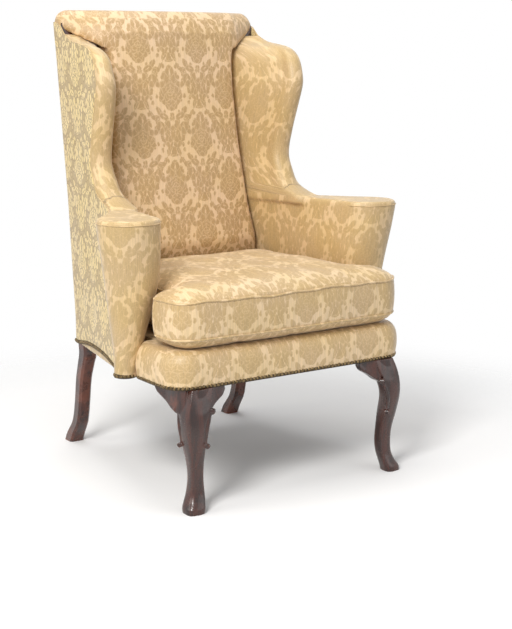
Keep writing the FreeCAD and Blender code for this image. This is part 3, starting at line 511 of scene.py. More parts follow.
# Materials
class Nodes:
    """Short hand for building a node tree."""

    def __init__(self, tree):
        self.tree = tree

    def add(self, kind, **settings):
        node = self.tree.nodes.new(kind)
        for name, value in settings.items():
            setattr(node, name, value)
        return node

    def feed(self, socket, value):
        if isinstance(value, bpy.types.NodeSocket):
            self.tree.links.new(value, socket)
        else:
            socket.default_value = value

    def math(self, operation, *values, clamp=False):
        node = self.add("ShaderNodeMath", operation=operation, use_clamp=clamp)
        for socket, value in zip(node.inputs, values):
            self.feed(socket, value)
        return node.outputs[0]

    def vector(self, operation, *values):
        node = self.add("ShaderNodeVectorMath", operation=operation)
        for socket, value in zip(node.inputs, values):
            self.feed(socket, value)
        return node.outputs["Value"] if operation == "LENGTH" else node.outputs[0]

    def combine(self, x, y, z=0.0):
        node = self.add("ShaderNodeCombineXYZ")
        for socket, value in zip(node.inputs, (x, y, z)):
            self.feed(socket, value)
        return node.outputs[0]

    def mix(self, share, a, b):
        node = self.add("ShaderNodeMix", data_type="RGBA")
        self.feed(node.inputs["Factor"], share)
        for socket, value in ((node.inputs[6], a), (node.inputs[7], b)):
            self.feed(socket, value if isinstance(value, bpy.types.NodeSocket) else (*value, 1.0))
        return node.outputs[2]

    def stretched(self, vector, scale, turn=0.0):
        node = self.add("ShaderNodeMapping")
        self.feed(node.inputs["Vector"], vector)
        node.inputs["Scale"].default_value = scale
        node.inputs["Rotation"].default_value = (0.0, 0.0, turn)
        return node.outputs[0]

    def noise(self, vector, scale, detail=2.0, rough=0.5):
        node = self.add("ShaderNodeTexNoise")
        self.feed(node.inputs["Vector"], vector)
        node.inputs["Scale"].default_value = scale
        node.inputs["Detail"].default_value = detail
        node.inputs["Roughness"].default_value = rough
        return node.outputs["Fac"]

    def ramp(self, value, low, high, to_low=0.0, to_high=1.0):
        node = self.add("ShaderNodeMapRange", clamp=True, interpolation_type="SMOOTHSTEP")
        for socket, entry in zip(node.inputs, (value, low, high, to_low, to_high)):
            self.feed(socket, entry)
        return node.outputs[0]

    def bump(self, height, distance, normal=None):
        node = self.add("ShaderNodeBump")
        node.inputs["Distance"].default_value = distance
        self.feed(node.inputs["Height"], height)
        if normal is not None:
            self.feed(node.inputs["Normal"], normal)
        return node.outputs[0]

    def ellipse(self, place, x, y, wide, high, turn=0.0):
        """How deep a point lies inside an ellipse, in metres; below nought outside it."""
        node = self.add("ShaderNodeMapping", vector_type="TEXTURE")
        self.feed(node.inputs["Vector"], place)
        node.inputs["Location"].default_value = (x, y, 0.0)
        node.inputs["Rotation"].default_value = (0.0, 0.0, math.radians(turn))
        node.inputs["Scale"].default_value = (wide, high, 1.0)
        away = self.vector("LENGTH", node.outputs[0])
        least = min(wide, high)
        return self.math("MULTIPLY_ADD", away, -least, least)

    def union(self, depths):
        total = depths[0]
        for depth in depths[1:]:
            total = self.math("MAXIMUM", total, depth)
        return total


# Ovals that draw half of the mirrored figure: across and up from the medallion's centre, half width,
# half height, turn
HALF = REPEAT_WIDTH / 2
FIGURE = (
    (0.0, -0.002, 0.034, 0.032, 0.0),
    (0.016, 0.022, 0.016, 0.012, 30.0),
    (0.0, -0.030, 0.017, 0.014, 0.0),
    (0.0, 0.050, 0.013, 0.024, 0.0),
    (0.013, 0.042, 0.007, 0.016, -25.0),
    (0.0, 0.089, 0.010, 0.004, 0.0),
    (0.0, 0.101, 0.005, 0.008, 0.0),
    (0.025, -0.058, 0.014, 0.0075, 28.0),
    (0.038, -0.045, 0.012, 0.006, 55.0),
    (0.050, -0.074, 0.012, 0.020, 20.0),
    (0.014, -0.082, 0.007, 0.014, -22.0),
    (0.0, -0.100, 0.006, 0.015, 0.0),
    (0.046, 0.040, 0.007, 0.024, -28.0),
    (0.033, 0.070, 0.007, 0.019, 32.0),
    (0.020, 0.094, 0.006, 0.011, 40.0),
    (HALF - 0.026, 0.018, 0.016, 0.019, 0.0),
    (HALF, 0.0, 0.027, 0.018, 0.0),
    (HALF, 0.034, 0.010, 0.018, 0.0),
    (HALF - 0.014, -0.026, 0.006, 0.014, -14.0),
    (HALF, -0.034, 0.006, 0.020, 0.0),
    (HALF - 0.022, 0.052, 0.007, 0.016, -30.0),
)
# Pale strokes inside and beside the figure
STROKES = (
    (0.048, 0.0, 0.006, 0.026, 0.0),
    (0.028, -0.027, 0.016, 0.0025, 48.0),
    (0.009, -0.049, 0.014, 0.0025, 52.0),
    (0.0, 0.052, 0.0028, 0.018, 0.0),
    (HALF - 0.025, 0.018, 0.0030, 0.012, 0.0),
    (HALF, 0.004, 0.0030, 0.013, 0.0),
    (HALF - 0.012, -0.002, 0.0024, 0.010, 20.0),
    (0.050, -0.074, 0.0035, 0.012, 20.0),
    (0.025, -0.058, 0.009, 0.0018, 28.0),
)
# Petals of the medallion's rosette: radius, how far the petals wave, their number, height of the centre
PETALS = ((0.0085, 0.0, 1, 0.004), (0.0165, 0.0018, 8, 0.004), (0.0265, 0.0026, 11, 0.002))


# Small leaves scattered over the ground, and the thin pale veins that part the figure: how many to a metre,
# and their half sizes
LEAF_SCALE = 66.0
LEAF_SIZE = 0.0028
VEIN_SCALE = 85.0
VEIN_HALF = 0.0010


def damask_group():
    """Depth inside the woven figure, in metres, for a place on the flat cloth."""
    tree = bpy.data.node_groups.get("damask figure")
    if tree:
        return tree
    tree = bpy.data.node_groups.new("damask figure", "ShaderNodeTree")
    tree.interface.new_socket("Place", in_out="INPUT", socket_type="NodeSocketVector")
    tree.interface.new_socket("Depth", in_out="OUTPUT", socket_type="NodeSocketFloat")
    n = Nodes(tree)
    start = n.add("NodeGroupInput")
    end = n.add("NodeGroupOutput")
    split = n.add("ShaderNodeSeparateXYZ")
    n.feed(split.inputs[0], start.outputs[0])
    u = n.math("PINGPONG", n.math("DIVIDE", split.outputs[0], REPEAT_WIDTH), 0.5)
    rows = n.math("DIVIDE", split.outputs[1], REPEAT_HEIGHT)
    edge = n.math("MULTIPLY_ADD", n.math("COSINE", n.math("MULTIPLY", rows, 2 * math.pi)), 0.25, 0.25)
    own = n.math("LESS_THAN", u, edge)
    other = n.math("SUBTRACT", 1.0, own)
    turned = n.math("SUBTRACT", 0.5, u)
    across = n.math("ADD", n.math("MULTIPLY", u, own), n.math("MULTIPLY", turned, other))
    shifted = n.math("MULTIPLY_ADD", own, 0.5, rows)
    up = n.math("SUBTRACT", n.math("FRACT", shifted), 0.5)
    place = n.combine(n.math("MULTIPLY", across, REPEAT_WIDTH), n.math("MULTIPLY", up, REPEAT_HEIGHT))
    figure = n.union([n.ellipse(place, *oval) for oval in FIGURE])
    strokes = n.union([n.ellipse(place, *oval) for oval in STROKES])
    for radius, wave, petals, height in PETALS:
        centre = n.vector("SUBTRACT", place, (0.0, height, 0.0))
        parts = n.add("ShaderNodeSeparateXYZ")
        n.feed(parts.inputs[0], centre)
        angle = n.math("ARCTAN2", parts.outputs[0], parts.outputs[1])
        swing = n.math("ABSOLUTE", n.math("COSINE", n.math("MULTIPLY", angle, petals / 2.0)))
        reach = n.math("MULTIPLY_ADD", swing, 2 * wave, radius - wave)
        off = n.math("ABSOLUTE", n.math("SUBTRACT", n.vector("LENGTH", centre), reach))
        strokes = n.math("MAXIMUM", strokes, n.math("SUBTRACT", 0.0013, off))
    depth = n.math("MINIMUM", figure, n.math("MULTIPLY", strokes, -1.0))
    leaves = n.add("ShaderNodeTexVoronoi", voronoi_dimensions="2D")
    n.feed(leaves.inputs["Vector"], n.stretched(place, (1.0, 0.62, 1.0), 0.5))
    leaves.inputs["Scale"].default_value = LEAF_SCALE
    leaf = n.math("MULTIPLY_ADD", leaves.outputs["Distance"], -1.0 / LEAF_SCALE, LEAF_SIZE)
    depth = n.math("MAXIMUM", depth, leaf)
    veins = n.add("ShaderNodeTexVoronoi", voronoi_dimensions="2D", feature="DISTANCE_TO_EDGE")
    n.feed(veins.inputs["Vector"], n.stretched(place, (1.0, 0.55, 1.0), -0.4))
    veins.inputs["Scale"].default_value = VEIN_SCALE
    vein = n.math("MULTIPLY_ADD", veins.outputs["Distance"], 1.0 / VEIN_SCALE, -VEIN_HALF)
    depth = n.math("MINIMUM", depth, vein)
    n.feed(end.inputs[0], depth)
    return tree


def damask(name, figure, ground, line=None, widen=0.0, streaks=0.35, contrast=1.0, satin=0.42):
    """Silk damask: a smooth figure on a ribbed ground, with slubby yarns and a soft sheen."""
    material = bpy.data.materials.new(name)
    material.use_nodes = True
    n = Nodes(material.node_tree)
    shader = material.node_tree.nodes["Principled BSDF"]
    place = n.add("ShaderNodeUVMap", uv_map="cloth").outputs[0]
    wobble = n.add("ShaderNodeTexNoise")
    n.feed(wobble.inputs["Vector"], place)
    wobble.inputs["Scale"].default_value = 90.0
    centred = n.vector("SUBTRACT", wobble.outputs["Color"], (0.5, 0.5, 0.5))
    drift = n.vector("MULTIPLY", centred, (0.008, 0.008, 0.0))
    group = n.add("ShaderNodeGroup", node_tree=damask_group())
    n.feed(group.inputs[0], n.vector("ADD", place, drift))
    depth = n.math("ADD", group.outputs[0], widen)
    inside = n.ramp(depth, -0.0014, 0.0014)
    slubs = n.noise(n.stretched(place, (420.0, 16.0, 1.0)), 1.0, 3.0, 0.6)
    ribs = n.noise(n.stretched(place, (60.0, 900.0, 1.0)), 1.0, 2.0, 0.5)
    patches = n.noise(place, 9.0, 3.0, 0.55)
    spots = n.noise(place, 260.0, 2.0, 0.6)
    share = n.math("MULTIPLY_ADD", n.math("SUBTRACT", slubs, 0.5), streaks * 1.6, inside)
    share = n.math("MULTIPLY_ADD", n.math("SUBTRACT", spots, 0.5), 0.8, share, clamp=True)
    share = n.math("MULTIPLY_ADD", n.math("SUBTRACT", share, 0.5), contrast, 0.5, clamp=True)
    cloth = n.mix(share, ground, figure)
    # A dark rim along the figure's edge, used on the outside covers: painted shade of the satin ground beside
    # the figure
    if line:
        rim = n.ramp(n.math("ABSOLUTE", depth), 0.0016, 0.0004)
        cloth = n.mix(n.math("MULTIPLY", rim, 0.75), cloth, line)
    warm = n.mix(n.ramp(patches, 0.35, 0.65), (1.0, 0.97, 0.88), (1.02, 1.0, 1.02))
    tint = n.add("ShaderNodeMix", data_type="RGBA", blend_type="MULTIPLY")
    tint.inputs["Factor"].default_value = 1.0
    n.feed(tint.inputs[6], cloth)
    n.feed(tint.inputs[7], warm)
    yarns = n.mix(n.ramp(slubs, 0.3, 0.7), (0.86, 0.86, 0.86), (1.10, 1.10, 1.10))
    final = n.add("ShaderNodeMix", data_type="RGBA", blend_type="MULTIPLY")
    final.inputs["Factor"].default_value = min(1.0, streaks * 2)
    n.feed(final.inputs[6], tint.outputs[2])
    n.feed(final.inputs[7], yarns)
    n.feed(shader.inputs["Base Color"], final.outputs[2])
    n.feed(shader.inputs["Roughness"], n.ramp(inside, 0.0, 1.0, satin + 0.16, satin))
    shader.inputs["Sheen Weight"].default_value = 0.25
    shader.inputs["Sheen Roughness"].default_value = 0.4
    shader.inputs["Specular IOR Level"].default_value = 0.45
    height = n.math("ADD", n.math("MULTIPLY", inside, 0.5), n.math("MULTIPLY", ribs, 0.5))
    creases = n.bump(n.noise(n.stretched(place, (1.0, 0.45, 1.0)), 14.0, 3.0, 0.5), 0.004)
    n.feed(shader.inputs["Normal"], n.bump(n.math("ADD", height, slubs), 0.0005, creases))
    return material


def material_of(name):
    """The finish of that name, made on its first use."""
    title = "armchair " + name
    material = bpy.data.materials.get(title)
    if material:
        return material
    colours = bpy.context.scene.armchair_colours
    figure, ground = tuple(colours.figure), tuple(colours.ground)
    outside, outside_shaded_ground = tuple(colours.outside), tuple(colours.outside_shaded_ground)
    if name == "damask inside":
        return damask(title, figure, ground, widen=0.0008)
    # Outside covers: the pale figure is painted light; the dark ground and the dark rim round the figure are
    # painted shade of the satin
    if name == "damask outside":
        return damask(title, outside, outside_shaded_ground, line=(0.30, 0.21, 0.11), widen=0.0012, streaks=0.3)
    # Arms and wings: the damask's own colour with painted light, made a little paler than the inside back
    if name == "damask arm":
        arm, arm_lit_ground = tuple(colours.arm), tuple(colours.arm_lit_ground)
        return damask(title, arm, arm_lit_ground, widen=0.0012, streaks=0.45, contrast=0.72)
    if name == "damask cushion":
        cushion, cushion_ground = tuple(colours.cushion), tuple(colours.cushion_ground)
        return damask(title, cushion, cushion_ground, widen=0.001, streaks=0.5, contrast=0.75, satin=0.36)
    if name == "walnut":
        return walnut(title, tuple(colours.walnut))
    if name == "beech":
        return beech(title)
    if name == "brass":
        return brass(title, tuple(colours.brass))
    return woven(title, *WOVEN[name])


def object_place(n):
    return n.add("ShaderNodeTexCoord").outputs["Object"]


def walnut(name, colour):
    """Dark polished wood: long grain up the leg, pores, worn edges and patches of old wax."""
    material = bpy.data.materials.new(name)
    material.use_nodes = True
    n = Nodes(material.node_tree)
    shader = material.node_tree.nodes["Principled BSDF"]
    place = object_place(n)
    grain = n.noise(n.stretched(place, (60.0, 60.0, 5.0)), 1.0, 6.0, 0.65)
    pores = n.noise(n.stretched(place, (900.0, 900.0, 40.0)), 1.0, 2.0, 0.5)
    patches = n.noise(place, 14.0, 4.0, 0.6)
    pale = tuple(min(1.0, c * f) for c, f in zip(colour, (3.2, 3.6, 3.2)))
    deep = tuple(c * 0.28 for c in colour)
    wood = n.mix(n.ramp(grain, 0.36, 0.66), deep, colour)
    bevel = n.add("ShaderNodeNewGeometry").outputs["Pointiness"]
    worn = n.math("MULTIPLY", n.ramp(bevel, 0.52, 0.60), n.ramp(patches, 0.4, 0.62))
    wood = n.mix(worn, wood, pale)
    n.feed(shader.inputs["Base Color"], n.mix(n.ramp(patches, 0.58, 0.74, 0.0, 0.5), wood, pale))
    n.feed(shader.inputs["Roughness"], n.ramp(patches, 0.3, 0.7, 0.16, 0.34))
    shader.inputs["Coat Weight"].default_value = 0.35
    shader.inputs["Coat Roughness"].default_value = 0.12
    n.feed(shader.inputs["Normal"], n.bump(n.math("ADD", grain, pores), 0.0003))
    return material


def beech(name):
    """Plain sawn frame timber."""
    material = bpy.data.materials.new(name)
    material.use_nodes = True
    n = Nodes(material.node_tree)
    shader = material.node_tree.nodes["Principled BSDF"]
    place = object_place(n)
    grain = n.noise(n.stretched(place, (8.0, 8.0, 70.0)), 1.0, 5.0, 0.6)
    flecks = n.noise(n.stretched(place, (120.0, 120.0, 500.0)), 1.0, 2.0, 0.5)
    timber = n.mix(n.ramp(grain, 0.3, 0.7), (0.36, 0.22, 0.11), (0.56, 0.38, 0.21))
    n.feed(shader.inputs["Base Color"], timber)
    n.feed(shader.inputs["Roughness"], n.ramp(flecks, 0.3, 0.7, 0.55, 0.75))
    n.feed(shader.inputs["Normal"], n.bump(n.math("ADD", grain, flecks), 0.0004))
    return material


def brass(name, colour):
    """Antiqued brass: bright metal with patches of brown tarnish."""
    material = bpy.data.materials.new(name)
    material.use_nodes = True
    n = Nodes(material.node_tree)
    shader = material.node_tree.nodes["Principled BSDF"]
    place = object_place(n)
    tarnish = n.noise(place, 240.0, 4.0, 0.6)
    dark = tuple(c * 0.22 for c in colour)
    n.feed(shader.inputs["Base Color"], n.mix(n.ramp(tarnish, 0.35, 0.62), dark, colour))
    n.feed(shader.inputs["Roughness"], n.ramp(tarnish, 0.3, 0.7, 0.5, 0.28))
    shader.inputs["Metallic"].default_value = 0.85
    n.feed(shader.inputs["Normal"], n.bump(tarnish, 0.0003))
    return material


# Dark and pale yarn, and the size of a yarn
WOVEN = {
    "webbing": ((0.30, 0.22, 0.12), (0.50, 0.39, 0.23), 0.0018),
    "hessian": ((0.28, 0.19, 0.09), (0.48, 0.35, 0.18), 0.0014),
    "black_cloth": ((0.006, 0.006, 0.006), (0.022, 0.022, 0.024), 0.0007),
    "edging": ((0.03, 0.02, 0.012), (0.09, 0.06, 0.03), 0.001),
}


def woven(name, low, high, yarn):
    """Plain weave: crossing yarns with small gaps."""
    material = bpy.data.materials.new(name)
    material.use_nodes = True
    n = Nodes(material.node_tree)
    shader = material.node_tree.nodes["Principled BSDF"]
    place = object_place(n)
    split = n.add("ShaderNodeSeparateXYZ")
    n.feed(split.inputs[0], place)
    waves = [n.math("SINE", n.math("MULTIPLY", split.outputs[k], 2 * math.pi / yarn)) for k in (0, 1, 2)]
    weave = n.math("ADD", n.math("MULTIPLY", waves[0], waves[1]), n.math("MULTIPLY", waves[0], waves[2]))
    dirt = n.noise(place, 30.0, 4.0, 0.6)
    shade = n.math("MULTIPLY_ADD", weave, 0.25, dirt, clamp=True)
    n.feed(shader.inputs["Base Color"], n.mix(shade, low, high))
    n.feed(shader.inputs["Roughness"], n.ramp(dirt, 0.3, 0.7, 0.8, 0.95))
    n.feed(shader.inputs["Normal"], n.bump(weave, yarn * 0.25))
    return material


# Sides: the stuffed arm and wing in one cover
def side_ring(z, outer, radius, front, inner, flare, start_angle, inset, level=None):
    """Plan of a stuffed side: along the panel, out in a flare, round the roll and back along the inside."""
    cx, cy = outer - radius, front + radius
    r = radius - inset
    y_rear = pad_rear(z)
    end_angle = math.radians(-165.0)
    start = math.radians(start_angle)
    level = z if level is None else level
    along = [(panel_x(y, z) - COVER - inset, y) for y in np.linspace(y_rear, flare, 14)]
    s = np.array(along[-1])
    r0 = np.array([cx + r * math.cos(start), cy + r * math.sin(start)])
    slope = np.array([at_level(z, FLARE), -1.0])
    tangent = np.array([math.sin(start), -math.cos(start)])
    matrix = np.array([slope, tangent]).T
    reach = np.linalg.solve(matrix, r0 - s) if abs(np.linalg.det(matrix)) > 1e-4 else np.zeros(2)
    corner = s + slope * reach[0] if reach[0] > 0 and reach[1] > 0 else (s + r0) / 2
    bend = []
    for t in np.linspace(0, 1, 12)[1:-1]:
        bend.append(tuple((1 - t) ** 2 * s + 2 * t * (1 - t) * corner + t * t * r0))
    turn = [(cx + r * math.cos(a), cy + r * math.sin(a)) for a in np.linspace(start, end_angle, 36)]
    back = (inner + inset, cy + 0.015)
    end = (back_joint(z) + 0.0003 + inset, y_rear)
    inside = []
    for t in np.linspace(0, 1, 16):
        inside.append((back[0] + (end[0] - back[0]) * t, back[1] + (end[1] - back[1]) * t))
    return [(x, y, level) for x, y in along + bend + turn + inside]


def arm_ring(z, inset=0.0, level=None):
    outer, radius, front = (smooth(z, column(ARM_ROLL, k)) for k in (1, 2, 3))
    inner = min(outer - 2 * radius, ARM_INNER_LOW)
    return side_ring(z, outer, radius, front, inner, between(z, FLARE_START), 42.0, inset, level)


def arm_rings():
    low, high = ARM_ROLL[0][0], ARM_ROLL[-1][0]
    rings = [arm_ring(z) for z in np.linspace(low, high, 34)]
    rim = ARM_TOP - high
    for turn in np.linspace(0, 90, 7)[1:]:
        a = math.radians(turn)
        rings.append(arm_ring(high, 0.5 * rim * (1 - math.cos(a)), high + rim * math.sin(a)))
    return rings


def wing_rings():
    low, high = WING_EDGE[0][0], WING_EDGE[-1][0]
    rings = []
    for z in [low - 0.02] + list(np.linspace(low, high, 60)):
        at = max(z, low)
        depth, thick = smooth(at, column(WING_EDGE, 1)), smooth(at, column(WING_EDGE, 2))
        radius = thick / 2
        outer = panel_x(depth + radius, at)
        rings.append(side_ring(at, outer, radius, depth, outer - thick, depth + radius + 0.008, 6.0, 0.0, z))
    return rings


def roll_centre(z):
    """Centre and radius of the rounded front edge at each height, on the arm or the wing."""
    arm, wing = [], []
    for at in (0.30, 0.44, 0.56, 0.688):
        outer, radius, front = (smooth(at, column(ARM_ROLL, k)) for k in (1, 2, 3))
        arm.append((at, outer - radius, front + radius, radius))
    for at in np.linspace(0.71, 1.118, 14):
        depth, thick = smooth(at, column(WING_EDGE, 1)), smooth(at, column(WING_EDGE, 2))
        wing.append((at, panel_x(depth, at) - thick / 2, depth + thick / 2, thick / 2))
    table = np.array(arm + wing)
    return [np.interp(z, table[:, 0], table[:, k]) for k in (1, 2, 3)]


def side_cloth(co, normals):
    """Wraps the cloth round the front edge; on the arm's flat top it lies straight from front to back."""
    x, y, z = np.abs(co[:, 0]), co[:, 1], co[:, 2]
    cx, cy, r = roll_centre(z)
    angle = np.arctan2(x - cx, np.maximum(cy - y, 1e-5))
    quarter = r * math.pi / 2
    u = np.where(y < cy, r * angle, np.where(x > cx, quarter + (y - cy), -quarter - (y - cy)))
    v = z - MEDALLION[1] + 0.04
    top = (normals[:, 2] > 0.7) & (z > ARM_TOP - 0.03) & (y < 0.40)
    u = np.where(top, x - 0.36, u + 0.03)
    v = np.where(top, y, v)
    return np.stack([u, v], axis=1)


def make_sides():
    parts = joined([loft(arm_rings()), loft(wing_rings())])

    def near_arm_top(co):
        height = 1.0 - np.clip(np.abs(co[:, 2] - ARM_TOP - 0.01) / 0.06, 0, 1)
        return np.where(co[:, 1] > 0.27, height, 0.0)

    for side in ("right", "left"):
        verts, faces = mirrored(*parts) if side == "left" else parts
        obj = new_object("arm_and_wing_cover_" + side, verts, faces)
        remeshed(obj, COVER_VOXEL)
        relaxed(obj, 40, near_arm_top)
        relaxed(obj, 5)
        lay_cloth(obj, side_cloth)
        dress(obj, material_of("damask arm"), replaces=("arm_pad_" + side, "wing_pad_" + side))


# Inside back with its rolled crest
def back_ring(z):
    w = back_joint(z) - 0.0006
    rear = pad_rear(z)
    ahead, crown = between(z, column(BACK_PAD, 1)), between(z, column(BACK_PAD, 2))
    front = []
    for across in np.linspace(-1, 1, 41):
        edge = 0.010 * max(0.0, (abs(across) - 0.93) / 0.07) ** 2
        front.append((w * across, rear - ahead - crown * (1 - across * across) + edge, z))
    return front + [(w, rear, z), (-w, rear, z)]


def crest_ring(x):
    half = rear_half_width(PANEL_TOP) + CREST_PROUD
    past = max(0.0, abs(x) - CREST_FLAT_HALF)
    left = half - abs(x)
    drop = CREST_END_DROP * (1 - math.sqrt(max(0.0, 1 - (1 - min(left / CREST_END, 1.0)) ** 2)))
    rear = rear_depth(PANEL_TOP) + CREST_PROUD - 0.3 * drop
    front = CREST_FRONT + CREST_BOW * min(1.0, abs(x) / CREST_FLAT_HALF) ** 2 + CREST_SLANT * past
    top = BACK_TOP - drop
    low = CREST_LOW + CREST_CLIMB * past
    deep = min(CREST_FRONT_ROUND, 0.62 * (rear - front))
    back = min(CREST_REAR_ROUND, 0.35 * (rear - front))
    points = []
    for a in np.linspace(0, math.pi / 2, 10):
        points.append((x, front + deep * (1 - math.cos(a)), low + 0.010 + (top - low - 0.010) * math.sin(a)))
    fall = min(CREST_REAR_ROUND, top - PANEL_TOP + 0.011)
    for a in np.linspace(0, math.pi / 2, 7)[1:]:
        points.append((x, rear - back * (1 - math.sin(a)), top - fall * (1 - math.cos(a))))
    points += [(x, rear, PANEL_TOP), (x, rear - 0.004, PANEL_TOP)]
    points += [(x, rear - 0.35 * (rear - front), PANEL_TOP - 0.005), (x, front + 0.006, low)]
    return points


def back_cloth(co, normals):
    x, y, z = co.T
    over = (normals[:, 2] > 0.6) & (z > 1.138)
    v = np.where(over, BACK_TOP - 0.012 + (y - CREST_FRONT - 0.02), z)
    v = np.where((normals[:, 1] > 0.6), BACK_TOP + 0.13 + (BACK_TOP - z), v)
    return np.stack([x - MEDALLION[0], v - MEDALLION[1]], axis=1)


def make_inside_back():
    pad = loft([back_ring(z) for z in np.linspace(DECK_TOP + 0.004, 1.126, 60)])
    half = rear_half_width(PANEL_TOP) + CREST_PROUD
    places = np.concatenate([np.linspace(-half + 0.0005, -half + 0.034, 8), np.linspace(-0.26, 0.26, 40),
                             np.linspace(half - 0.034, half - 0.0005, 8)])
    crest = loft([crest_ring(x) for x in places])
    obj = new_object("inside_back_cover", *joined([pad, crest]))
    remeshed(obj, COVER_VOXEL)

    def below_crest(co):
        return np.clip(1.0 - np.abs(co[:, 2] - 1.095) / 0.07, 0.15, 1.0)

    relaxed(obj, 40, below_crest)
    lay_cloth(obj, back_cloth)
    dress(obj, material_of("damask inside"), replaces=("inside_back_pad",))


# Seat pad
def rounded(points, chords=10):
    """A closed plan outline through corners given as (x, y, radius), each turned by short chords."""
    outline = []
    count = len(points)
    for i in range(count):
        x, y, radius = points[i]
        here = np.array([x, y])
        before = np.array(points[i - 1][:2]) - here
        after = np.array(points[(i + 1) % count][:2]) - here
        before /= np.linalg.norm(before)
        after /= np.linalg.norm(after)
        half = math.acos(max(-1.0, min(1.0, float(before @ after)))) / 2
        bisector = (before + after) / np.linalg.norm(before + after)
        centre = here + bisector * (radius / math.sin(half))
        start = here + before * (radius / math.tan(half)) - centre
        end = here + after * (radius / math.tan(half)) - centre
        turn = math.pi - 2 * half
        for t in np.linspace(0, 1, chords + 1):
            outline.append(centre + start * (math.sin((1 - t) * turn) / math.sin(turn))
                           + end * (math.sin(t * turn) / math.sin(turn)))
    return np.array(outline)


def ear_outline(out):
    w, front, corner = EAR_HALF_WIDTH + out, ROLL_FRONT - out, EAR_CORNER + out
    left = [(-w, EAR_REAR, EAR_BACK_CORNER), (-w, front, corner)]
    right = [(w, front, corner), (w, EAR_REAR, EAR_BACK_CORNER)]
    return rounded(left + right, EAR_CHORDS)


def ring_at(outline, z):
    return np.column_stack([outline, np.full(len(outline), z)])


def seat_cloth(co, normals):
    x, y, z = co.T
    deck = normals[:, 2] > 0.7
    sides = (np.abs(normals[:, 0]) > np.abs(normals[:, 1])) & ~deck
    u = np.where(sides, np.sign(x) * (EAR_HALF_WIDTH + y - 0.06), x)
    v = np.where(deck, DECK_TOP + y, z)
    return np.stack([u - 0.04, v - 0.36], axis=1)


# Section of the seat's rolled front: height, and share of the bulge
ROLL_SECTION = (
    (RAIL_BOTTOM - COVER, 0.0), (0.306, 0.35), (0.316, 0.68), (0.328, 0.93), (0.340, 1.0), (0.352, 0.88),
    (0.363, 0.50), (0.372, -0.15), (0.380, -1.2), (0.385, -2.4), (DECK_TOP, -4.4),
)
# How far the hollow over the rails lies within the foot of the roll, and its height
ROLL_WALL = 0.0045
ROLL_CEILING = RAIL_TOP + 0.004


def make_seat_pad():
    inner = ear_outline(-ROLL_WALL)
    rings = [ring_at(inner, ROLL_CEILING), ring_at(inner, ROLL_SECTION[0][0])]
    rings += [ring_at(ear_outline(ROLL_BULGE * out), z) for z, out in ROLL_SECTION]
    back = pad_rear(DECK_TOP)
    corners = ((-0.298, 0.15), (0.298, 0.15), (0.260, back), (-0.260, back))
    deck = loft([[(x, y, z) for x, y in corners] for z in (ROLL_CEILING, DECK_TOP)])
    obj = new_object("seat_cover", *joined([loft(rings), deck]))
    remeshed(obj, SEAT_VOXEL)
    relaxed(obj, 4)
    lay_cloth(obj, seat_cloth)
    dress(obj, material_of("damask cushion"), replaces=("seat_pad",))


# Loose cushion
def cushion_outline(chords=10):
    bow = CUSHION_FRONT - CUSHION_BOW
    right = [(0.11, bow, 0.22), (CUSHION_EAR_HALF, CUSHION_FRONT + CUSHION_BOW, CUSHION_CORNER),
             (CUSHION_EAR_HALF, CUSHION_EAR_REAR, 0.018), (CUSHION_NECK, CUSHION_EAR_REAR, 0.010),
             (CUSHION_REAR_HALF, CUSHION_REAR, 0.034)]
    left = [(-x, y, r) for x, y, r in reversed(right)]
    return rounded(left + right, chords)


def even(outline, pitch):
    loop = np.column_stack([np.vstack([outline, outline[:1]]), np.zeros(len(outline) + 1)])
    return resampled(loop, pitch)[:-1, :2]


def distance_to(outline, points):
    a, b = outline, np.roll(outline, -1, axis=0)
    best = np.full(len(points), 1e9)
    for p, q in zip(a, b):
        d = q - p
        t = np.clip(((points - p) @ d) / (d @ d), 0, 1)
        best = np.minimum(best, np.linalg.norm(points - (p + t[:, None] * d), axis=1))
    return best


def inside_of(outline, points):
    x, y = points.T
    odd = np.zeros(len(points), bool)
    for (x0, y0), (x1, y1) in zip(outline, np.roll(outline, -1, axis=0)):
        crosses = (y0 > y) != (y1 > y)
        odd ^= crosses & (x < (x1 - x0) * (y - y0) / (y1 - y0 + 1e-12) + x0)
    return odd


